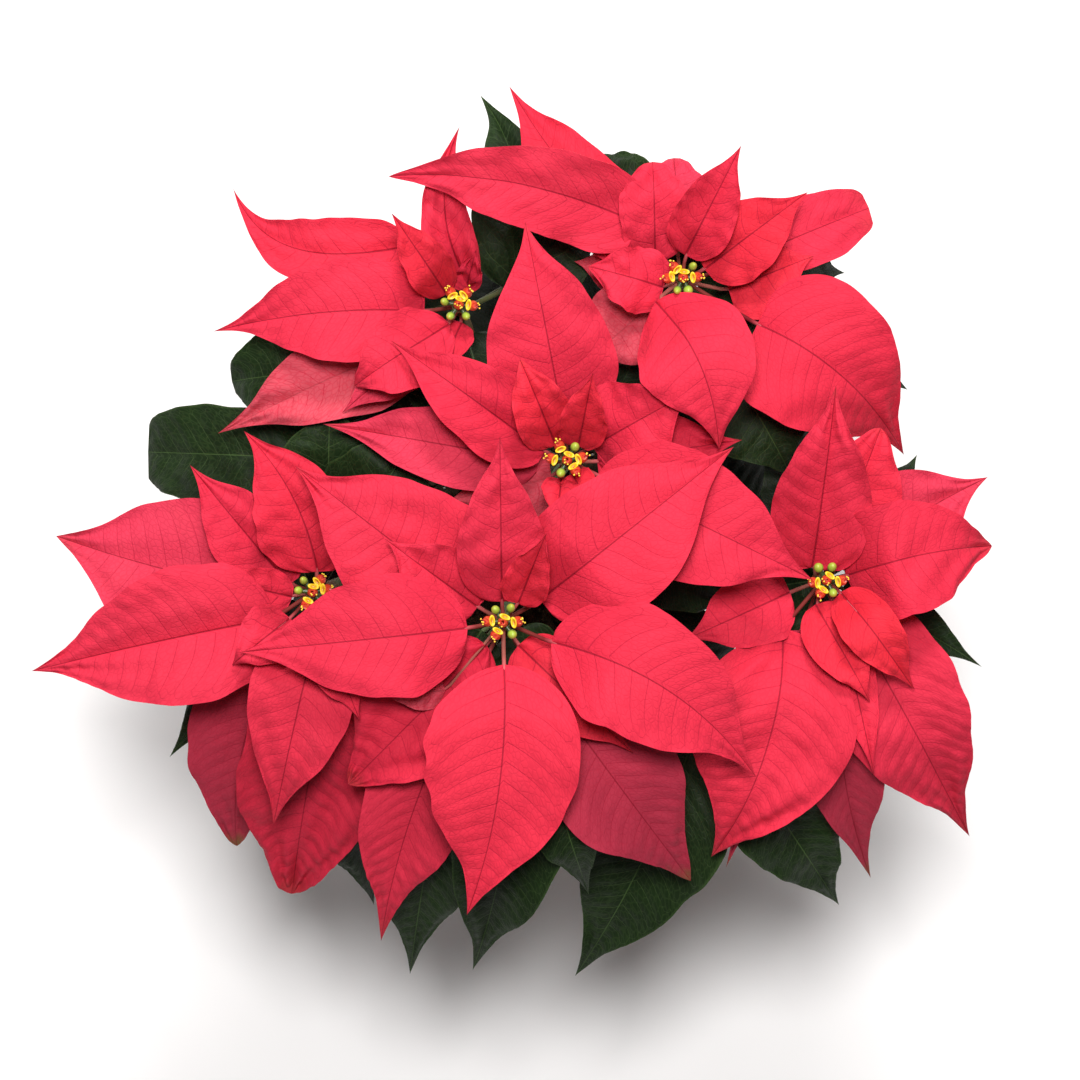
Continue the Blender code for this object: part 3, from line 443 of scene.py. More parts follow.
def setPlace(row, root, headHeight, rise=0.25):
    tip = plan(row["tip"], headHeight + row["end"])
    foot = plan(row["base"], root[2])
    stalk = math.hypot(foot[0] - root[0], foot[1] - root[1])
    foot[2] = root[2] + rise * stalk
    chord = tip - foot
    side = np.array((-chord[1], chord[0], 0)) / math.hypot(chord[0], chord[1])
    row.update(root=root, foot=foot, chord=chord, side=side, lift=np.zeros(len(stations)))


def halfWidth(row, s):
    rise = row["heel"] * row["point"] * row["belly"] / (1 - row["belly"])
    s = np.clip(s, 0, 1)
    full = (s / row["belly"]) ** rise * ((1 - s) / (1 - row["belly"])) ** row["point"]
    fade = np.clip((s - tail["start"]) / (tail["full"] - tail["start"]), 0, 1)
    fade = fade * fade * (3 - 2 * fade)
    return row["width"] / 2 * full * (1 - tail["depth"] * min(1.0, row["point"]) * fade)


def surface(row, s, t):
    # The upper face: s runs from the foot (0) to the tip (1), t from edge (-1) to edge (1).
    s = np.asarray(s, float)[:, None]
    t = np.asarray(t, float)[None, :]
    bulge = 4 * s * (1 - s)
    slope = 4 * (1 - 2 * s)
    aside = row["bow"] * bulge + row["hook"] * (s ** 4 - s)
    asideSlope = row["bow"] * slope + row["hook"] * (4 * s ** 3 - 1)
    centre = row["foot"] + row["chord"] * s + up * row["arch"] * bulge + row["side"] * aside
    along = row["chord"] + up * row["arch"] * slope + row["side"] * asideSlope
    along = along / np.linalg.norm(along, axis=1, keepdims=True)
    across = np.stack((-along[:, 1], along[:, 0], np.zeros(len(along))), axis=1)
    across = across / np.linalg.norm(across, axis=1, keepdims=True)
    over = np.cross(along, across)
    turn = row["roll"] * np.clip(s / 0.3, 0, 1)
    sideways = across * np.cos(turn) + over * np.sin(turn)
    over = over * np.cos(turn) - across * np.sin(turn)
    reach = halfWidth(row, s)
    ripple = row["wave"] * np.sin(2 * math.pi * 1.7 * s + row["phase"] + 1.9 * (t > 0)) * t ** 2
    bend = reach * (np.abs(t) * math.tan(row["fold"]) - row["curl"] * t ** 2)
    height = bend + ripple * np.clip(reach / (12 * mm), 0, 1)
    points = centre[:, None, :] + sideways[:, None, :] * (t * reach)[:, :, None]
    points = points + over[:, None, :] * height[:, :, None]
    points[:, :, 2] += np.interp(s, stations, row["lift"])
    return points, over


def settle(rows):
    # Lays the blades down from the lowest tier to the highest, each bent up where it would touch.
    cells = int(2 * settling["field"] / settling["cell"])
    ground = np.full((cells, cells), -1.0)
    across = np.linspace(-1, 1, 41)
    dense = np.linspace(0, 1, 101)
    for row in sorted(rows, key=lambda one: one["tier"]):
        points, over = surface(row, stations, np.linspace(-1, 1, 15))
        columns = ((points[:, :, 0] + settling["field"]) / settling["cell"]).astype(int)
        lines = ((points[:, :, 1] + settling["field"]) / settling["cell"]).astype(int)
        need = (ground[columns, lines] + settling["gap"] - points[:, :, 2]).max(axis=1)
        need = np.clip(need, 0, None) * np.clip((stations - 0.08) / 0.22, 0, 1)
        lift = np.zeros(len(stations))
        for station, wanted in zip(stations, need):
            before = np.clip(stations / max(station, 0.01), 0, 1)
            before = before * before * (3 - 2 * before)
            after = 1 - 0.45 * np.clip((stations - station) / 0.6, 0, 1)
            lift = np.maximum(lift, wanted * np.where(stations < station, before, after))
        row["lift"] = np.convolve(np.pad(lift, 1, mode="edge"), (0.25, 0.5, 0.25), mode="valid")
        row["lift"][0] = 0
        points, over = surface(row, dense, across)
        columns = ((points[:, :, 0] + settling["field"]) / settling["cell"]).astype(int).ravel()
        lines = ((points[:, :, 1] + settling["field"]) / settling["cell"]).astype(int).ravel()
        heights = points[:, :, 2].ravel()
        for aside in (-1, 0, 1):
            for ahead in (-1, 0, 1):
                np.maximum.at(ground, (columns + aside, lines + ahead), heights)
    canopy["top"] = ground
    wide = np.maximum(ground, settling["open"])
    for axis in (0, 1):
        wide = sum(np.roll(wide, shift, axis) for shift in range(-4, 5)) / 9
    canopy["around"] = wide


def cellOf(points):
    cells = ((np.asarray(points)[..., :2] + settling["field"]) / settling["cell"]).astype(int)
    return np.clip(cells[..., 0], 0, 239), np.clip(cells[..., 1], 0, 239)


def depthOf(points):
    # 0 at the top of the canopy around a point, 1 where the point lies deep below it; used to paint shade
    # into the colour of blades and stalks
    around = canopy["around"][cellOf(points)]
    return np.clip((around - np.asarray(points)[..., 2] - settling["shallow"]) / settling["deep"], 0, 1)


def addLowLeaves(name):
    top = headTop(name)
    for degrees in lowLeaves["bearings"].get(name, ()):
        bearing = math.radians(degrees)
        aim = np.array((math.cos(bearing), math.sin(bearing), 0.0))
        row = blade((0, 0), (0, 0), lowLeaves["width"], 0, arch=20, tier=1.0, drop=lowLeaves["drop"])
        root = stemPoint(name, row["drop"])
        foot = aim * lowLeaves["foot"] + up * (root[2] + 6 * mm)
        tip = aim * lowLeaves["tip"] + up * (top[2] + lowLeaves["end"])
        side = np.array((-aim[1], aim[0], 0))
        row.update(root=root, foot=foot, chord=tip - foot, side=side, lift=np.zeros(len(stations)))
        leaves[name].append(row)


def planBlades():
    draw = random.Random(7)
    every = []
    for name in heads:
        top = headTop(name)
        for rank, row in enumerate(sorted(bracts[name], key=lambda one: -one["tier"])):
            root = top - up * (settling["seatFirst"] + settling["seatStep"] * rank)
            setPlace(row, root, top[2])
        for row in leaves[name]:
            setPlace(row, stemPoint(name, row["drop"]), top[2])
        addLowLeaves(name)
        for row in bracts[name] + leaves[name]:
            row["phase"] = draw.uniform(0, 2 * math.pi)
            every.append(row)
    settle(every)
    print("blades planned and settled:", len(every))


# The fine blade: relief is in millimetres, and steps are the size of its mesh's faces
bladeForm = {
    "thickness": 0.45 * mm,
    "step": 1.35 * mm,
    "leafStep": 1.7 * mm,
    "veinEvery": 9.6 * mm,         # mean distance between side veins along the midrib
    "veinSweep": 0.20,             # how far forward a vein has run when it meets the margin
    "ribGroove": 0.35 * mm,
    "ruffle": 0.5 * mm,
    "edgeNoise": 0.022,
    "lobes": 0.035,
    "stalkRadius": 0.98 * mm,
}

bractKinds = {        # tone is light and dark, hue runs from orange (-1) to pink (1), pucker is in mm
    "lit": {"tone": 0.0, "hue": 0.0, "pucker": 0.5, "crinkle": 1.0, "crease": 0.10, "age": 0.0,
            "back": 0.0},
    "rough": {"tone": -0.06, "hue": 0.1, "pucker": 0.75, "crinkle": 1.5, "crease": 0.30, "age": 0.1,
              "back": 0.0},
    "young": {"tone": 0.05, "hue": -0.45, "pucker": 0.45, "crinkle": 0.8, "crease": 0.12, "age": 0.0,
              "back": 0.0},
    # The deep kind's lower tone is painted shade, for bracts that lie in shade within the heads
    "deep": {"tone": -0.15, "hue": 0.1, "pucker": 0.95, "crinkle": 2.2, "crease": 0.5, "age": 0.1,
             "back": 0.0},
    "pale": {"tone": 0.1, "hue": 0.55, "pucker": 0.55, "crinkle": 1.1, "crease": 0.12, "age": 0.1,
             "back": 0.15},
    "old": {"tone": -0.1, "hue": 0.6, "pucker": 0.6, "crinkle": 1.2, "crease": 0.18, "age": 1.0,
            "back": 0.1},
    "back": {"tone": 0.1, "hue": 0.8, "pucker": 0.5, "crinkle": 1.5, "crease": 0.2, "age": 0.2,
             "back": 0.75},
    "leaf": {"tone": 0.0, "hue": 0.0, "pucker": 0.8, "crinkle": 1.3, "crease": 0.12, "age": 0.0,
             "back": 0.0},
}


class Heap:        # gathers vertices, faces and their attributes for one object
    def __init__(self, names):
        self.names = names
        self.places = []
        self.faces = []
        self.values = {name: [] for name in names}
        self.count = 0

    def add(self, places, faces, **values):
        places = np.asarray(places, float).reshape(-1, 3)
        self.places.append(places)
        self.faces.extend((np.asarray(faces) + self.count).tolist())
        for name in self.names:
            value = np.broadcast_to(values.get(name, 0.0), (len(places),))
            self.values[name].append(value)
        self.count += len(places)

    def build(self, name, material, sharp=50):
        mesh = bpy.data.meshes.new(name)
        mesh.from_pydata(np.concatenate(self.places).tolist(), [], self.faces)
        for key in self.names:
            layer = mesh.attributes.new(key, "FLOAT", "POINT")
            layer.data.foreach_set("value", np.concatenate(self.values[key]).astype(np.float32))
        mesh.shade_smooth()
        mesh.set_sharp_from_angle(angle=math.radians(sharp))
        mesh.materials.append(material)
        made = bpy.data.objects.new(name, mesh)
        scene.collection.objects.link(made)
        return made


def gridFaces(rows, columns, flip=False):
    index = np.arange(rows * columns).reshape(rows, columns)
    quads = np.stack((index[:-1, :-1], index[1:, :-1], index[1:, 1:], index[:-1, 1:]), axis=-1)
    quads = quads.reshape(-1, 4)
    return quads[:, ::-1] if flip else quads


def softNoise(draw, s, t, count=7, low=1.5, high=5.0):
    # A smooth irregular field between about -1 and 1
    total = np.zeros(np.broadcast(s, t).shape)
    for _ in range(count):
        angle = draw.uniform(0, 2 * math.pi)
        size = draw.uniform(low, high)
        total = total + np.sin(2 * math.pi * size * (s * math.cos(angle) + t * math.sin(angle) * 0.4)
                               + draw.uniform(0, 2 * math.pi))
    return total / math.sqrt(count)


def addTube(heap, points, radii, sides=8, **values):
    points = np.asarray(points, float)
    along = np.gradient(points, axis=0)
    along = along / np.linalg.norm(along, axis=1, keepdims=True)
    guide = np.array((0.3, 0.2, 1.0)) if abs(along[0][2]) < 0.8 else np.array((1.0, 0.3, 0.0))
    first = np.cross(along, guide)
    first = first / np.linalg.norm(first, axis=1, keepdims=True)
    second = np.cross(along, first)
    angle = np.linspace(0, 2 * math.pi, sides, endpoint=False)
    ring = first[:, None] * np.cos(angle)[None, :, None] + second[:, None] * np.sin(angle)[None, :, None]
    places = points[:, None] + ring * np.asarray(radii, float).reshape(-1, 1, 1)
    count = len(points)
    index = np.arange(count * sides).reshape(count, sides)
    turned = np.roll(index, -1, axis=1)
    quads = np.stack((index[:-1], turned[:-1], turned[1:], index[1:]), axis=-1).reshape(-1, 4)
    faces = quads.tolist()
    places = np.concatenate((places.reshape(-1, 3), points[:1], points[-1:]))
    foot, tip = count * sides, count * sides + 1
    for side in range(sides):
        after = (side + 1) % sides
        faces.append((foot, int(index[0, after]), int(index[0, side])))
        faces.append((tip, int(index[-1, side]), int(index[-1, after])))
    quads = [face for face in faces]
    heap.places.append(places)
    heap.faces.extend([[corner + heap.count for corner in face] for face in quads])
    for name in heap.names:
        value = values.get(name, 0.0)
        heap.values[name].append(np.broadcast_to(value, (len(places),)))
    heap.count += len(places)


def addBlade(heap, row, number, isLeaf=False):
    kind = bractKinds["leaf" if isLeaf else row["kind"]]
    draw = random.Random("%s %d" % (row["tip"], number))
    length = float(np.linalg.norm(row["chord"])) + row["arch"]
    step = bladeForm["leafStep"] if isLeaf else bladeForm["step"]
    rows = max(12, int(length / step))
    columns = 2 * max(5, int(row["width"] / step / 2)) + 1
    s = 1 - (1 - np.linspace(0, 1, rows)) ** 1.0
    t = np.linspace(-1, 1, columns)
    points, over = surface(row, s, t)
    grid, lane = s[:, None], t[None, :]
    reach = halfWidth(row, s)[:, None]
    lateral = lane * reach

    veins = length / bladeForm["veinEvery"]
    out = np.abs(lateral) / (row["width"] / 2)
    sweep = bladeForm["veinSweep"] * (0.6 * out + 0.4 * out ** 3)
    jitter = 0.1 * softNoise(draw, grid, lane, 3, 1, 3)
    ahead = grid - sweep
    vein = veins * (0.86 * ahead + 0.22 * ahead * abs(ahead)) + jitter + 0.37 * (lane > 0)
    body = np.clip(reach / (6 * mm), 0, 1)
    middle = np.abs(lane)
    hump = np.abs(np.sin(math.pi * vein)) ** 0.9 * np.clip(middle * 3.2, 0, 1) * (1 - 0.55 * middle)
    height = kind["pucker"] * mm * hump * body
    height = height + kind["crinkle"] * mm * 0.55 * softNoise(draw, grid, lane) * body
    crease = softNoise(draw, 0.35 * vein, lane * 2, 9, 1.2, 3.2)
    height = height + kind["crease"] * mm * crease * body * np.clip(middle * 4, 0, 1)
    groove = np.exp(-(lateral / (0.9 * mm)) ** 2) * bladeForm["ribGroove"] * (1 - 0.7 * grid)
    ruffle = np.sin(2 * math.pi * (draw.uniform(5, 7.5) * grid) + row["phase"] + 2.1 * (lane > 0))
    height = height - groove + bladeForm["ruffle"] * ruffle * middle ** 4 * body
    outward = over[:, None, :]
    tipFade = np.clip((1 - grid) / 0.04, 0, 1)
    points = points + outward * (height * tipFade)[:, :, None]
    edge = 1 + bladeForm["edgeNoise"] * softNoise(draw, grid, 3 * np.sign(lane), 5, 2, 7) * middle
    knots = np.linspace(0, 1, 9)
    for side in (-1, 1):
        shift = [0.0] + [draw.uniform(-1, 1) for _ in knots[1:-1]] + [0.0]
        corner = knots + np.array([0.0] + [draw.uniform(-0.04, 0.04) for _ in knots[1:-1]] + [0.0])
        lobe = np.interp(s, corner, shift)[:, None] * bladeForm["lobes"] * middle
        edge = edge + lobe * (np.sign(lane) == side)
    centre = points[:, columns // 2][:, None, :]
    points = centre + (points - centre) * edge[:, :, None]
    lower = points - outward * bladeForm["thickness"]

    values = {
        "along": np.broadcast_to(grid, (rows, columns)),
        "lateral": lateral / mm * np.ones((rows, columns)),
        "across": np.broadcast_to(np.abs(lane), (rows, columns)),
        "vein": vein,
        "veinStep": np.full((rows, columns), length / veins / mm),
        "depth": depthOf(points),
    }
    flat = {name: value.ravel() for name, value in values.items()}
    shared = {"tone": kind["tone"] + draw.uniform(-0.12, 0.12),
              "hue": kind["hue"] + draw.uniform(-0.15, 0.15), "age": kind["age"],
              "seed": draw.uniform(0, 50), "stalk": 0.0}
    size = rows * columns
    top = gridFaces(rows, columns)
    bottom = gridFaces(rows, columns, True) + size
    index = np.arange(size).reshape(rows, columns)
    rim = np.concatenate((index[:, 0], index[-1, 1:], index[::-1, -1][1:], index[0, ::-1][1:]))
    rimFaces = np.stack((rim[:-1], rim[:-1] + size, rim[1:] + size, rim[1:]), axis=-1)
    both = {name: np.concatenate((value, value)) for name, value in flat.items()}
    under = np.concatenate((np.full(size, kind["back"]), np.ones(size)))
    heap.add(np.concatenate((points.reshape(-1, 3), lower.reshape(-1, 3))),
             np.concatenate((top, bottom, rimFaces)), under=under, **both, **shared)

    # The stalk runs on under the blade as its raised midrib
    stalk = row["foot"] - row["root"]
    distance = np.linalg.norm(stalk)
    start = row["root"] + stalk * min(0.5, 1.3 * mm / distance)
    ribStations = np.linspace(0.03, 0.9, 22)
    middleLine = points[:, columns // 2]
    under = np.stack([np.interp(ribStations, s, middleLine[:, axis]) for axis in range(3)], axis=1)
    ribOver = np.stack([np.interp(ribStations, s, over[:, axis]) for axis in range(3)], axis=1)
    radius = bladeForm["stalkRadius"] * (1.25 if isLeaf else 1.0) * min(1.0, 0.55 + row["width"] / 0.09)
    ribRadius = radius * (1 - ribStations) ** 1.1
    rib = under - ribOver * (bladeForm["thickness"] * 0.9 + 0.8 * ribRadius[:, None])
    count = max(4, int(distance / (3 * mm)))
    blend = np.linspace(0, 1, count)[:, None]
    sag = -up * 0.12 * distance * np.sin(math.pi * blend) * 0.3
    arm = start * (1 - blend) + (row["foot"] - up * 0.9 * mm) * blend + sag
    line = np.concatenate((arm[:-1], rib))
    radii = np.concatenate((np.full(count - 1, radius), ribRadius))
    radii[0] = radius * 1.25
    place = np.linspace(0, 1, len(line))
    alongTube = np.append(np.repeat(place, 8), (0.0, 1.0))
    onBlade = np.append(np.zeros(count - 1), np.ones(len(rib)))
    onBlade = np.append(np.repeat(onBlade, 8), (0.0, 1.0))
    depth = depthOf(line)
    depth = np.append(np.repeat(depth, 8), (depth[0], depth[-1]))
    addTube(heap, line, radii, 8, along=alongTube, stalk=1.0, tone=shared["tone"], hue=shared["hue"],
            age=shared["age"], seed=shared["seed"], under=1.0, veinStep=9.0, across=onBlade, depth=depth)


bladeNames = ("along", "lateral", "across", "vein", "veinStep", "tone", "hue", "age", "seed", "stalk",
              "under", "depth")


def veinMask(sheet, width, soft=0.5):
    # Side veins, thick at the midrib and looping into each other near the margin, and the midrib itself
    vein = attribute(sheet, "vein")
    across = attribute(sheet, "across")
    stepWide = attribute(sheet, "veinStep")
    lateral = abs(attribute(sheet, "lateral"))
    along = attribute(sheet, "along")
    nearest = abs((vein + 0.5).math("FRACT") - 0.5) * stepWide * 0.85
    arch = 0.80 + 0.10 * (vein.math("FRACT") * math.pi).math("SINE")
    line = width * (1.0 - 0.6 * across)
    side = 1.0 - (nearest / line).step(soft, 1.6)
    side = side * (1.0 - 0.8 * (across - arch).step(-0.02, 0.05))
    loop = 1.0 - (lateral * abs(1.0 - arch / (across + 0.001)) / (width * 0.6)).step(soft, 1.7)
    rib = 1.0 - (lateral / (0.44 - 0.32 * along)).step(0.5, 1.5)
    return side.math("MAXIMUM", loop * 0.6), rib


def smallNet(sheet, scale):
    # The fine net between the side veins
    place = sheet.node("ShaderNodeCombineXYZ", None, {
        "X": attribute(sheet, "vein") * attribute(sheet, "veinStep") * 0.8,
        "Y": attribute(sheet, "lateral"), "Z": attribute(sheet, "seed")})
    cell = sheet.node("ShaderNodeTexVoronoi", {"feature": "DISTANCE_TO_EDGE"},
                      {"Vector": place, "Scale": scale}, "Distance")
    return cell, place


bractLook = {
    "lit": (0.69, 0.026, 0.058),
    "bright": (0.73, 0.050, 0.086),
    "deep": (0.46, 0.007, 0.030),
    "orange": (0.72, 0.022, 0.033),
    "pink": (0.63, 0.044, 0.094),
    "old": (0.40, 0.030, 0.060),
    "olive": (0.17, 0.105, 0.035),
    "under": (0.64, 0.105, 0.130),
    "vein": (0.34, 0.006, 0.028),
    "rib": (0.23, 0.005, 0.018),
    # Stalk: the stalks' own dark red, darkened further as painted shade between the bracts
    "stalk": (0.17, 0.008, 0.014),
    "stalkFoot": (0.19, 0.035, 0.026),
    # The pinkish colour next is painted light: the look of a lit stalk, given to some stalks at random
    "litStalk": (0.48, 0.17, 0.13),
    "shade": (0.05, 0.002, 0.004),
    "roughness": 0.68,
}


def bractMaterial():
    material, sheet = newSheet("bract")
    tone = attribute(sheet, "tone")
    hue = attribute(sheet, "hue")
    age = attribute(sheet, "age")
    under = attribute(sheet, "under")
    along = attribute(sheet, "along")
    across = attribute(sheet, "across")
    side, rib = veinMask(sheet, 0.21)
    cell, place = smallNet(sheet, 0.42)
    net = 1.0 - cell.step(0.0, 0.16)
    cloud = noise(sheet, 0.05, 3.0, 0.6, place)
    colour = hue.held().mixed(bractLook["lit"], bractLook["pink"])
    colour = (-hue).held().mixed(colour, bractLook["orange"])
    # Low tones and the cloud darken a blade towards deep crimson; for the deep kind this darkening is
    # painted shade
    colour = (tone * -1.4 + (cloud - 0.5) * 0.55).held().mixed(colour, bractLook["deep"])
    colour = ((cloud - 0.55) * 1.2 + tone * 0.6).held().mixed(colour, bractLook["bright"])
    colour = (age * (0.45 + 0.5 * along)).held().mixed(colour, bractLook["old"])
    tipAge = (along + 0.25 * cloud).step(1.02, 1.15) * (0.10 + age).held()
    colour = tipAge.mixed(colour, bractLook["olive"])
    colour = (net * (0.17 + 0.25 * under)).mixed(colour, bractLook["vein"])
    colour = (side * 0.55).mixed(colour, bractLook["vein"])
    colour = (rib * 0.75).mixed(colour, bractLook["rib"])
    pale = (cloud - 0.5).math("MULTIPLY_ADD", 0.6, under)
    netted = (side * 0.6 + net * 0.4).held().mixed(bractLook["under"], bractLook["lit"])
    colour = (pale * under).held().mixed(colour, netted)
    stalkColour = along.step(0.0, 0.35).mixed(bractLook["stalkFoot"], bractLook["stalk"])
    # Painted light: some stalks, picked at random by seed, get a pinkish lit look
    litStalk = attribute(sheet, "seed").math("FRACT").step(0.55, 0.75) * 0.55
    stalkColour = litStalk.mixed(stalkColour, bractLook["litStalk"])
    stalkColour = across.mixed(stalkColour, bractLook["under"])
    colour = attribute(sheet, "stalk").mixed(colour, stalkColour)
    # Painted shade: bracts and stalks lying deep below the canopy are darkened towards near black
    colour = (attribute(sheet, "depth") * 0.6).mixed(colour, bractLook["shade"])
    height = cloud * 0.35 - net * 0.45 - side * 1.0 - rib * 0.8
    fine = noise(sheet, 1.6, 3.0, 0.6, place)
    height = height + fine * 0.25
    roughness = bractLook["roughness"] + 0.12 * cloud
    return dress(material, sheet, colour, roughness, height, 0.35, 0.0006,
                 Specular_IOR_Level=0.14)


leafLook = {
    "dark": (0.0052, 0.0125, 0.0026),
    "light": (0.012, 0.031, 0.006),
    "vein": (0.066, 0.118, 0.034),
    "under": (0.085, 0.15, 0.060),
    "stalk": (0.11, 0.13, 0.045),
    "stalkTop": (0.17, 0.035, 0.027),
    "shade": (0.0015, 0.0030, 0.0008),
    "roughness": 0.52,
}


def leafMaterial():
    material, sheet = newSheet("leaf")
    under = attribute(sheet, "under")
    along = attribute(sheet, "along")
    side, rib = veinMask(sheet, 0.16)
    cell, place = smallNet(sheet, 0.36)
    net = 1.0 - cell.step(0.0, 0.14)
    cloud = noise(sheet, 0.06, 3.0, 0.6, place)
    colour = (cloud * 1.3 - 0.25 + 0.25 * attribute(sheet, "across")).held().mixed(
        leafLook["dark"], leafLook["light"])
    colour = (net * 0.16).mixed(colour, leafLook["vein"])
    colour = (side * 0.55).mixed(colour, leafLook["vein"])
    colour = (rib * 0.7).mixed(colour, leafLook["vein"])
    # Painted highlight: a pale rim along the leaf margins
    margin = attribute(sheet, "across").step(0.94, 0.99) * 0.35
    colour = margin.mixed(colour, leafLook["vein"])
    colour = under.held().mixed(colour, (side * 0.4 + net * 0.2).mixed(leafLook["under"], leafLook["vein"]))
    stalkColour = along.step(0.1, 0.5).mixed(leafLook["stalk"], leafLook["stalkTop"])
    stalkColour = attribute(sheet, "across").mixed(stalkColour, leafLook["under"])
    colour = attribute(sheet, "stalk").mixed(colour, stalkColour)
    # Painted shade: leaves and stalks lying deep below the canopy are darkened towards near black
    colour = (attribute(sheet, "depth") * 0.85).mixed(colour, leafLook["shade"])
    height = cloud * 0.3 - net * 0.4 - side - rib * 0.8
    return dress(material, sheet, colour, leafLook["roughness"] + 0.15 * cloud, height, 0.4, 0.0006,
                 Specular_IOR_Level=0.16)


stemLook = {
    "green": (0.10, 0.17, 0.05),
    "red": (0.26, 0.05, 0.035),
    "scar": (0.12, 0.10, 0.06),
}


def stemMaterial():
    material, sheet = newSheet("stem")
    along = attribute(sheet, "along")
    grain = noise(sheet, 320.0, 4.0)
    broad = noise(sheet, 70.0, 3.0)
    colour = (along + (broad - 0.5) * 0.5).step(0.55, 1.05).mixed(stemLook["green"], stemLook["red"])
    colour = ((0.28 - along) * 4.0 + (broad - 0.5) * 1.5).held().mixed(colour, stemLook["scar"])
    colour = (grain.step(0.62, 0.75) * 0.35).mixed(colour, (0.22, 0.24, 0.12))
    return dress(material, sheet, colour, 0.5 + 0.2 * grain, grain, 0.3, 0.0005, Specular_IOR_Level=0.4)


woodLook = {"dark": (0.075, 0.052, 0.033), "light": (0.24, 0.19, 0.13)}


def woodMaterial():
    material, sheet = newSheet("wood")
    place = sheet.node("ShaderNodeTexCoord", out="Object")
    stretched = sheet.node("ShaderNodeVectorMath", {"operation": "MULTIPLY"},
                           {0: place, 1: (1.0, 1.0, 0.25)})
    grain = noise(sheet, 420.0, 5.0, 0.65, stretched)
    spots = noise(sheet, 900.0, 2.0, 0.5)
    colour = grain.step(0.3, 0.7).mixed(woodLook["dark"], woodLook["light"])
    colour = (spots.step(0.66, 0.74) * 0.5).mixed(colour, (0.34, 0.30, 0.22))
    return dress(material, sheet, colour, 0.85, grain + 0.3 * spots, 0.8, 0.0009,
                 Specular_IOR_Level=0.2)


def makeWood(material):
    heap = Heap(("along",))
    draw = random.Random(3)
    heights = np.linspace(stems["woodFoot"], stems["woodTop"], 60)
    swell = [1 + 0.05 * math.sin(height * 900) + 0.04 * draw.uniform(-1, 1) for height in heights]
    taper = np.interp(heights, (heights[0], 0.112, heights[-1]), (1.0, 0.96, 0.78))
    line = [(0.0, 0.0, height) for height in heights]
    addTube(heap, line, stems["woodRadius"] * 0.97 * taper * np.array(swell), 24)
    for name in heads:
        end, aim = branchEnd(name)
        start = up * stems["branchStart"]
        line = bezier(start, start + up * 10 * mm, end - aim * 12 * mm, end, 24)
        ringed = 1 + 0.05 * np.sin(np.linspace(0, 26, 24)) + 0.02 * np.sin(np.linspace(0, 60, 24))
        addTube(heap, line, stems["branchRadius"] * ringed * 0.96, 16)
    wood = heap.build("woody_stem", material)
    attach(wood, "root")
    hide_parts("main_stem")
    print("woody stem")


def makeShoot(name, leafFinish, stemFinish):
    heap = Heap(bladeNames)
    for number, row in enumerate(leaves[name]):
        addBlade(heap, row, number, True)
    foliage = heap.build("leaves_" + name, leafFinish)
    stalk = Heap(("along",))
    line = shootLine(name, 60)
    swell = np.ones(60)
    for row in leaves[name]:
        swell = swell + 0.16 * np.exp(-((line[:, 2] - row["root"][2] + 1.5 * mm) / (2.2 * mm)) ** 2)
    radii = np.linspace(stems["shootRadius"], stems["shootRadius"] * 0.85, 60) * np.minimum(swell, 1.3)
    place = np.append(np.repeat(np.linspace(0, 1, 60), 14), (0.0, 1.0))
    addTube(stalk, line, radii, 14, along=place)
    stem = stalk.build("green_stem_" + name, stemFinish)
    for piece in (foliage, stem):
        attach(piece, "root")
        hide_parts("leafy_stem_" + name)


def makeHead(name, bractFinish, stemFinish):
    heap = Heap(bladeNames)
    for number, row in enumerate(bracts[name]):
        addBlade(heap, row, number)
    whorl = heap.build("whorl_" + name, bractFinish)
    hub = Heap(("along",))
    top = headTop(name)
    steps = np.linspace(-stems["hubLength"], 0, 24)
    line = [top + up * step for step in steps]
    radii = stems["hubRadius"] * (0.92 + 0.08 * np.sin(steps / mm * 1.4)) * np.linspace(0.92, 1.12, 24)
    place = np.append(np.repeat(np.linspace(0.5, 0.75, 24), 14), (0.5, 0.75))
    addTube(hub, line, radii, 14, along=place)
    tip = hub.build("stem_tip_" + name, stemFinish)
    for piece in (whorl, tip):
        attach(piece, "root")
        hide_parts("bracts_" + name)


cyathiaForm = {
    "ring": 6, "spread": 6.6 * mm, "radius": 2.7 * mm, "height": 6.4 * mm,
    "buds": {"front": (2, 3, 6), "middle": (2, 5), "left": (3, 4, 6), "right": (2, 3, 6),
             "back_right": (2, 5, 6), "back_left": (4, 5, 6)},        # places in the ring still closed
    "glandLength": 2.65, "glandWidth": 1.35, "turn": 0.35,
}
cyathiaLook = {
    "base": (0.030, 0.062, 0.014),
    "urn": (0.13, 0.22, 0.035),
    "bud": (0.34, 0.50, 0.050),
    "lip": (0.60, 0.050, 0.018),
    "filament": (0.55, 0.03, 0.03),
    "slit": (0.50, 0.23, 0.008),
    "gland": (0.86, 0.60, 0.012),
    "anther": (0.86, 0.64, 0.05),
}


def cyathiaMaterial():
    material, sheet = newSheet("cyathia")
    part = attribute(sheet, "part")
    shine = noise(sheet, 900.0, 2.0)
    order = ("base", "urn", "bud", "lip", "filament", "slit", "gland", "anther")
    places = (0.0, 0.1, 0.2, 0.35, 0.5, 0.65, 0.8, 1.0)
    stops = [(place, cyathiaLook[key]) for place, key in zip(places, order)]
    colour = sheet.node("ShaderNodeValToRGB", {"stops": stops}, {"Fac": part})
    colour = ((shine - 0.5) * 0.5).held().mixed(colour, (0.9, 0.8, 0.35))
    return dress(material, sheet, colour, 0.32 + 0.15 * shine, shine, 0.2, 0.0002,
                 Specular_IOR_Level=0.5)


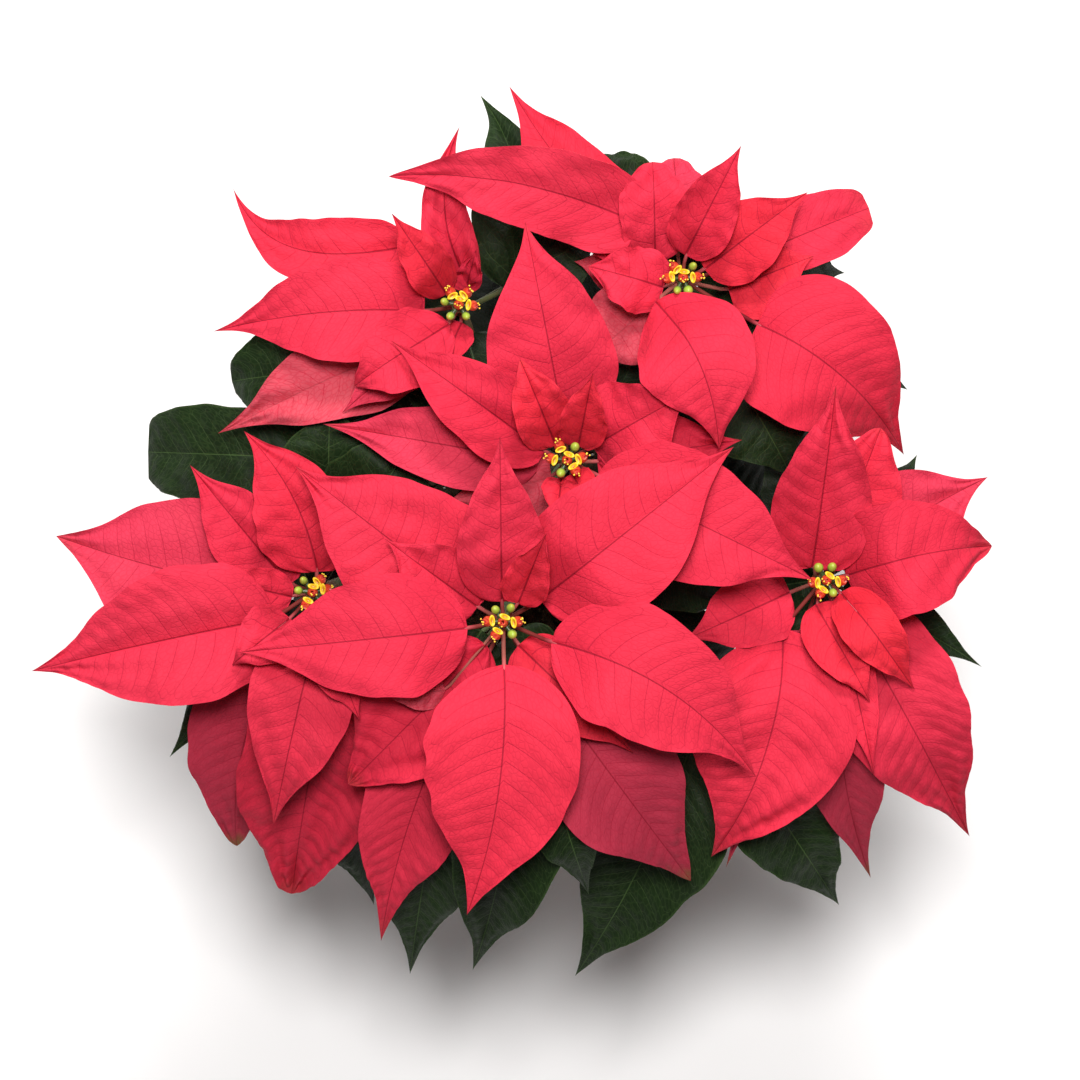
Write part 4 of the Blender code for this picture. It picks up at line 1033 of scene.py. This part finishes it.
def addTurned(heap, centre, axis, profile, sides, parts, stretch=(1.0, 1.0), facing=None):
    # A turned form: profile is (radius, height) along the axis
    axis = np.asarray(axis, float) / np.linalg.norm(axis)
    guide = np.asarray(facing if facing is not None else (1.0, 0.2, 0.1), float)
    first = guide - axis * np.dot(guide, axis)
    first = first / np.linalg.norm(first)
    second = np.cross(axis, first)
    angle = np.linspace(0, 2 * math.pi, sides, endpoint=False)
    profile = np.asarray(profile, float)
    ring = (first[None] * np.cos(angle)[:, None] * stretch[0]
            + second[None] * np.sin(angle)[:, None] * stretch[1])
    places = centre + profile[:, 0][:, None, None] * ring[None] + profile[:, 1][:, None, None] * axis
    count = len(profile)
    index = np.arange(count * sides).reshape(count, sides)
    turned = np.roll(index, -1, axis=1)
    quads = np.stack((index[:-1], turned[:-1], turned[1:], index[1:]), axis=-1).reshape(-1, 4)
    values = np.repeat(np.asarray(parts, float), sides)
    heap.add(places.reshape(-1, 3), quads, part=values)


def makeCyathia(name, material):
    # Urns with red lips and a yellow two-lipped gland each, and green buds between them
    heap = Heap(("part",))
    top = headTop(name) + up * stems["gap"]
    draw = random.Random(name)
    places = [(0.0, 0.0)]
    for step in range(cyathiaForm["ring"]):
        angle = 2 * math.pi * (step + draw.uniform(-0.2, 0.2)) / cyathiaForm["ring"]
        reach = cyathiaForm["spread"] * draw.uniform(0.92, 1.08)
        places.append((reach * math.cos(angle), reach * math.sin(angle)))
    addTurned(heap, top, up, [(0.0, 0.0), (2.6 * mm, 0.0), (3.0 * mm, 1.0 * mm), (2.6 * mm, 1.9 * mm),
                              (1.4 * mm, 2.4 * mm), (0.0, 2.5 * mm)], 20, [0.0] * 6)
    for number, (x, y) in enumerate(places):
        tall = cyathiaForm["height"] * draw.uniform(0.85, 1.1)
        lift = draw.uniform(0.5, 1.3) * mm
        foot = top + np.array((x * 0.85, y * 0.85, lift))
        axis = up + np.array((x, y, 0)) / cyathiaForm["spread"] * 0.35
        isBud = number in cyathiaForm["buds"][name]
        radius = cyathiaForm["radius"] * (draw.uniform(0.66, 0.84) if isBud else 0.9)
        addTube(heap, [top + up * 1.0 * mm, foot + up * 0.8 * mm], [1.2 * mm, 1.1 * mm], 8, part=0.0)
        share = np.linspace(0, 1, 14)
        body = radius * (np.sin(math.pi * np.clip(share * 0.93 + 0.07, 0, 1)) ** 0.55)
        if isBud:
            parts = np.interp(share, (0, 0.35, 0.7, 1), (0.03, 0.10, 0.19, 0.22))
        else:
            body[-3:] = radius * np.array((0.66, 0.52, 0.0))
            parts = np.interp(share, (0, 0.25, 0.42, 1), (0.05, 0.12, 0.34, 0.37))
        heights = share * tall
        if not isBud:
            heights[-1] = tall * 0.80
        addTurned(heap, foot, axis, np.stack((body, heights), axis=1), 16, parts)
        if isBud:
            continue
        inward = np.array((-x, -y, 0.0)) if number else np.array((0.3, 1.0, 0.0))
        inward = inward / np.linalg.norm(inward)
        turn = draw.uniform(-1, 1) * cyathiaForm["turn"]
        facing = np.array((inward[0] * math.cos(turn) - inward[1] * math.sin(turn),
                           inward[0] * math.sin(turn) + inward[1] * math.cos(turn), 0.0))
        seat = foot + axis * tall * 0.74 + facing * radius * 0.98
        cup = [(0.0, -1.0), (0.7, -0.7), (0.97, 0.1), (1.0, 0.7), (0.86, 0.95), (0.66, 0.75), (0.42, 0.15),
               (0.0, -0.1)]
        cup = [(reach, height * mm) for reach, height in cup]
        addTurned(heap, seat, facing * 0.35 + up, cup, 20, [0.76, 0.8, 0.8, 0.84, 0.86, 0.78, 0.68, 0.64],
                  (cyathiaForm["glandWidth"] * mm, cyathiaForm["glandLength"] * mm), facing)
        for strand in range(draw.choice((3, 4, 5))):
            spin = math.atan2(-facing[1], -facing[0]) + draw.uniform(-1.3, 1.3)
            root = foot + axis * tall * 0.8
            side = np.array((math.cos(spin), math.sin(spin), 0.0))
            end = root + axis * draw.uniform(0.9, 2.0) * mm + side * draw.uniform(0.8, 2.3) * mm
            addTube(heap, [root, (root + end) / 2 + up * 0.1 * mm, end], [0.17 * mm] * 3, 6, part=0.5)
            share = np.linspace(0, 1, 5)
            pearl = np.stack((0.48 * mm * np.sin(math.pi * share), (share - 0.5) * 0.9 * mm), axis=1)
            addTurned(heap, end, side + up, pearl, 8, [1.0] * 5)
    cluster = heap.build("flowers_" + name, material, 70)
    weld = bmesh.new()
    weld.from_mesh(cluster.data)
    bmesh.ops.remove_doubles(weld, verts=weld.verts, dist=0.01 * mm)
    weld.to_mesh(cluster.data)
    weld.free()
    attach(cluster, "root")
    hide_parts("cyathia_" + name)


pot = {
    "height": 117 * mm, "radius": 76 * mm, "foot": 54 * mm, "wall": 3.2 * mm, "floor": 4 * mm,
    "rim": 20 * mm, "step": 3 * mm, "holes": 5, "holeRadius": 4.5 * mm, "holeCircle": 32 * mm,
    "colour": (0.43, 0.135, 0.070), "worn": (0.50, 0.20, 0.12), "dust": (0.42, 0.30, 0.22),
    "sides": 128,
}


def rounded(profile, radius, steps=4):
    # Rounds the corners of a turned profile
    points = [profile[0]]
    for before, corner, after in zip(profile, profile[1:], profile[2:]):
        corner = Vector(corner)
        back = Vector(before) - corner
        ahead = Vector(after) - corner
        reach = min(radius, back.length * 0.45, ahead.length * 0.45)
        start = corner + back.normalized() * reach
        stop = corner + ahead.normalized() * reach
        for step in range(steps + 1):
            t = step / steps
            points.append(tuple(start * (1 - t) ** 2 + corner * 2 * t * (1 - t) + stop * t ** 2))
    points.append(profile[-1])
    return points


def turnedObject(name, profile, sides, material):
    turned = bmesh.new()
    corners = [turned.verts.new((radius, 0, height)) for radius, height in profile]
    for start, stop in zip(corners, corners[1:]):
        turned.edges.new((start, stop))
    mesh = bpy.data.meshes.new(name)
    turned.to_mesh(mesh)
    turned.free()
    made = bpy.data.objects.new(name, mesh)
    scene.collection.objects.link(made)
    screw = made.modifiers.new("turn", "SCREW")
    screw.steps = sides
    screw.render_steps = sides
    screw.use_merge_vertices = True
    screw.merge_threshold = 0.01 * mm
    depsgraph = bpy.context.evaluated_depsgraph_get()
    mesh = bpy.data.meshes.new_from_object(made.evaluated_get(depsgraph))
    made.modifiers.clear()
    made.data = mesh
    mesh.materials.append(material)
    return made


def potMaterial():
    material, sheet = newSheet("pot")
    broad = noise(sheet, 22.0, 4.0)
    fine = noise(sheet, 500.0, 3.0)
    place = sheet.node("ShaderNodeTexCoord", out="Object")
    height = sheet.node("ShaderNodeSeparateXYZ", None, {"Vector": place}, "Z")
    colour = broad.step(0.35, 0.75).mixed(pot["colour"], pot["worn"])
    dusty = (1.0 - (height / pot["height"]).step(0.0, 0.22)) * (0.25 + 0.5 * broad)
    colour = dusty.mixed(colour, pot["dust"])
    return dress(material, sheet, colour, 0.5 + 0.18 * broad, fine + 0.5 * broad, 0.25, 0.0003,
                 Specular_IOR_Level=0.4)


def makePot(material):
    inner = pot["radius"] - pot["wall"]
    bodyTop = pot["radius"] - pot["step"]
    lowerRim = pot["height"] - pot["rim"]
    innerFoot = pot["foot"] - pot["wall"]
    outside = [
        (inner - 0.6 * mm, pot["height"] - 1.6 * mm),
        (inner + 1.2 * mm, pot["height"] - 0.1 * mm),
        (pot["radius"] - 0.5 * mm, pot["height"] - 0.4 * mm),
        (pot["radius"] - 0.1 * mm, pot["height"] - 2.5 * mm),
        (pot["radius"] - 1 * mm, lowerRim),
        (bodyTop - 0.6 * mm, lowerRim - 0.4 * mm),
        (pot["foot"] + 1 * mm, 1.5 * mm),
        (pot["foot"] - 0.5 * mm, 0.0),
        (0.0, 0.0),
    ]
    inside = [
        (0.0, pot["floor"]),
        (innerFoot - 1.5 * mm, pot["floor"]),
        (innerFoot, pot["floor"] + 1.5 * mm),
        (bodyTop - pot["wall"] - 0.6 * mm, lowerRim - 2 * mm),
        (inner - 0.6 * mm, pot["height"] - 1.6 * mm),
    ]
    shell = turnedObject("pot_body", rounded(outside, 1.2 * mm) + rounded(inside, 1.0 * mm), pot["sides"],
                         material)
    cutters = []
    for hole in range(pot["holes"]):
        angle = 2 * math.pi * hole / pot["holes"]
        centre = (pot["holeCircle"] * math.cos(angle), pot["holeCircle"] * math.sin(angle), pot["floor"] / 2)
        bpy.ops.mesh.primitive_cylinder_add(vertices=32, radius=pot["holeRadius"],
                                            depth=4 * pot["floor"], location=centre)
        cutter = bpy.context.object
        cut = shell.modifiers.new("drain", "BOOLEAN")
        cut.operation = "DIFFERENCE"
        cut.object = cutter
        cutters.append(cutter)
    depsgraph = bpy.context.evaluated_depsgraph_get()
    mesh = bpy.data.meshes.new_from_object(shell.evaluated_get(depsgraph))
    shell.modifiers.clear()
    shell.data = mesh
    for cutter in cutters:
        bpy.data.objects.remove(cutter)
    mesh.shade_smooth()
    mesh.set_sharp_from_angle(angle=math.radians(40))
    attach(shell, "root")
    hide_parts("pot")
    print("pot")


soil = {
    "top": 101 * mm, "crown": 3 * mm, "crumbs": 420, "grit": 60, "lumps": 1.1 * mm,
    "dark": (0.022, 0.014, 0.009), "light": (0.085, 0.055, 0.034), "pale": (0.55, 0.52, 0.47),
}


def soilMaterial():
    material, sheet = newSheet("soil")
    broad = noise(sheet, 140.0, 5.0, 0.65)
    fine = noise(sheet, 1300.0, 3.0)
    colour = broad.step(0.35, 0.7).mixed(soil["dark"], soil["light"])
    colour = attribute(sheet, "pale").held().mixed(colour, soil["pale"])
    return dress(material, sheet, colour, 0.95, broad + 0.5 * fine, 0.9, 0.0012, Specular_IOR_Level=0.15)


def makeSoil(material):
    draw = random.Random(11)
    lowerRim = pot["height"] - pot["rim"]
    shoulder = pot["radius"] - pot["step"] - pot["wall"] - 1.6 * mm
    foot = pot["foot"] - pot["wall"] - 2.1 * mm
    hole = stems["woodRadius"] + 0.6 * mm
    radii = np.concatenate((np.linspace(hole, 0.985 * shoulder, 52), (shoulder,)))
    sides = 180
    angle = np.linspace(0, 2 * math.pi, sides, endpoint=False)
    share = radii / shoulder
    level = soil["top"] + soil["crown"] * (1 - share ** 2)
    level[-1] = lowerRim - 4 * mm
    x = radii[:, None] * np.cos(angle)
    y = radii[:, None] * np.sin(angle)
    lumps = np.zeros_like(x)
    for _ in range(40):
        turn, size = draw.uniform(0, 2 * math.pi), draw.uniform(90, 900)
        lumps += np.sin((x * math.cos(turn) + y * math.sin(turn)) * size + draw.uniform(0, 7)) / 6
    z = level[:, None] + soil["lumps"] * lumps * np.clip((1 - share) * 12, 0, 1)[:, None]
    heap = Heap(("pale",))
    wall = [(hole, level[0] - 44 * mm), (hole, level[0] - 2 * mm)]
    skirt = [(foot + 1.5 * mm, pot["floor"] + 2.3 * mm), (foot, pot["floor"] + 0.4 * mm)]
    rings = [np.stack((r * np.cos(angle), r * np.sin(angle), np.full(sides, h)), axis=1) for r, h in wall]
    rings += [np.stack((x[i], y[i], z[i]), axis=1) for i in range(len(radii))]
    rings += [np.stack((r * np.cos(angle), r * np.sin(angle), np.full(sides, h)), axis=1)
              for r, h in skirt]
    count = len(rings)
    index = np.arange(count * sides).reshape(count, sides)
    turned = np.roll(index, -1, axis=1)
    quads = np.stack((index[:-1], index[1:], turned[1:], turned[:-1]), axis=-1).reshape(-1, 4)
    places = np.concatenate(rings + [np.array([(0, 0, wall[0][1]), (0, 0, skirt[1][1])])])
    low, high = count * sides, count * sides + 1
    faces = quads.tolist()
    for side in range(sides):
        after = (side + 1) % sides
        faces.append((low, int(index[0, side]), int(index[0, after])))
        faces.append((high, int(index[-1, after]), int(index[-1, side])))
    heap.places.append(places)
    heap.faces.extend(faces)
    heap.values["pale"].append(np.zeros(len(places)))
    heap.count += len(places)
    crumb = bmesh.new()
    bmesh.ops.create_icosphere(crumb, subdivisions=1, radius=1.0)
    corners = np.array([vert.co[:] for vert in crumb.verts])
    sidesOf = [[vert.index for vert in face.verts] for face in crumb.faces]
    crumb.free()
    for number in range(soil["crumbs"] + soil["grit"]):
        isGrit = number >= soil["crumbs"]
        reach = shoulder * math.sqrt(draw.uniform(0.03, 0.9))
        turn = draw.uniform(0, 2 * math.pi)
        size = draw.uniform(0.8, 2.6) * mm * (0.6 if isGrit else 1.0)
        shape = corners * size * np.array([draw.uniform(0.6, 1.2) for _ in range(3)])
        shape = shape * np.array([[draw.uniform(0.8, 1.15)] for _ in corners])
        height = soil["top"] + soil["crown"] * (1 - (reach / shoulder) ** 2) + 0.3 * size
        centre = np.array((reach * math.cos(turn), reach * math.sin(turn), height))
        heap.add(shape + centre, sidesOf, pale=1.0 if isGrit else 0.0)
    ground = heap.build("potting_soil", material, 60)
    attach(ground, "root")
    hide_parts("soil")
    print("soil")


makeStage()
planBlades()
makePot(potMaterial())
makeSoil(soilMaterial())
makeWood(woodMaterial())
finishes = {"leaf": leafMaterial(), "bract": bractMaterial(), "stem": stemMaterial(),
            "cyathia": cyathiaMaterial()}
for headName in heads:
    makeShoot(headName, finishes["leaf"], finishes["stem"])
    makeHead(headName, finishes["bract"], finishes["stem"])
    makeCyathia(headName, finishes["cyathia"])
    print("shoot, bracts and flowers:", headName)
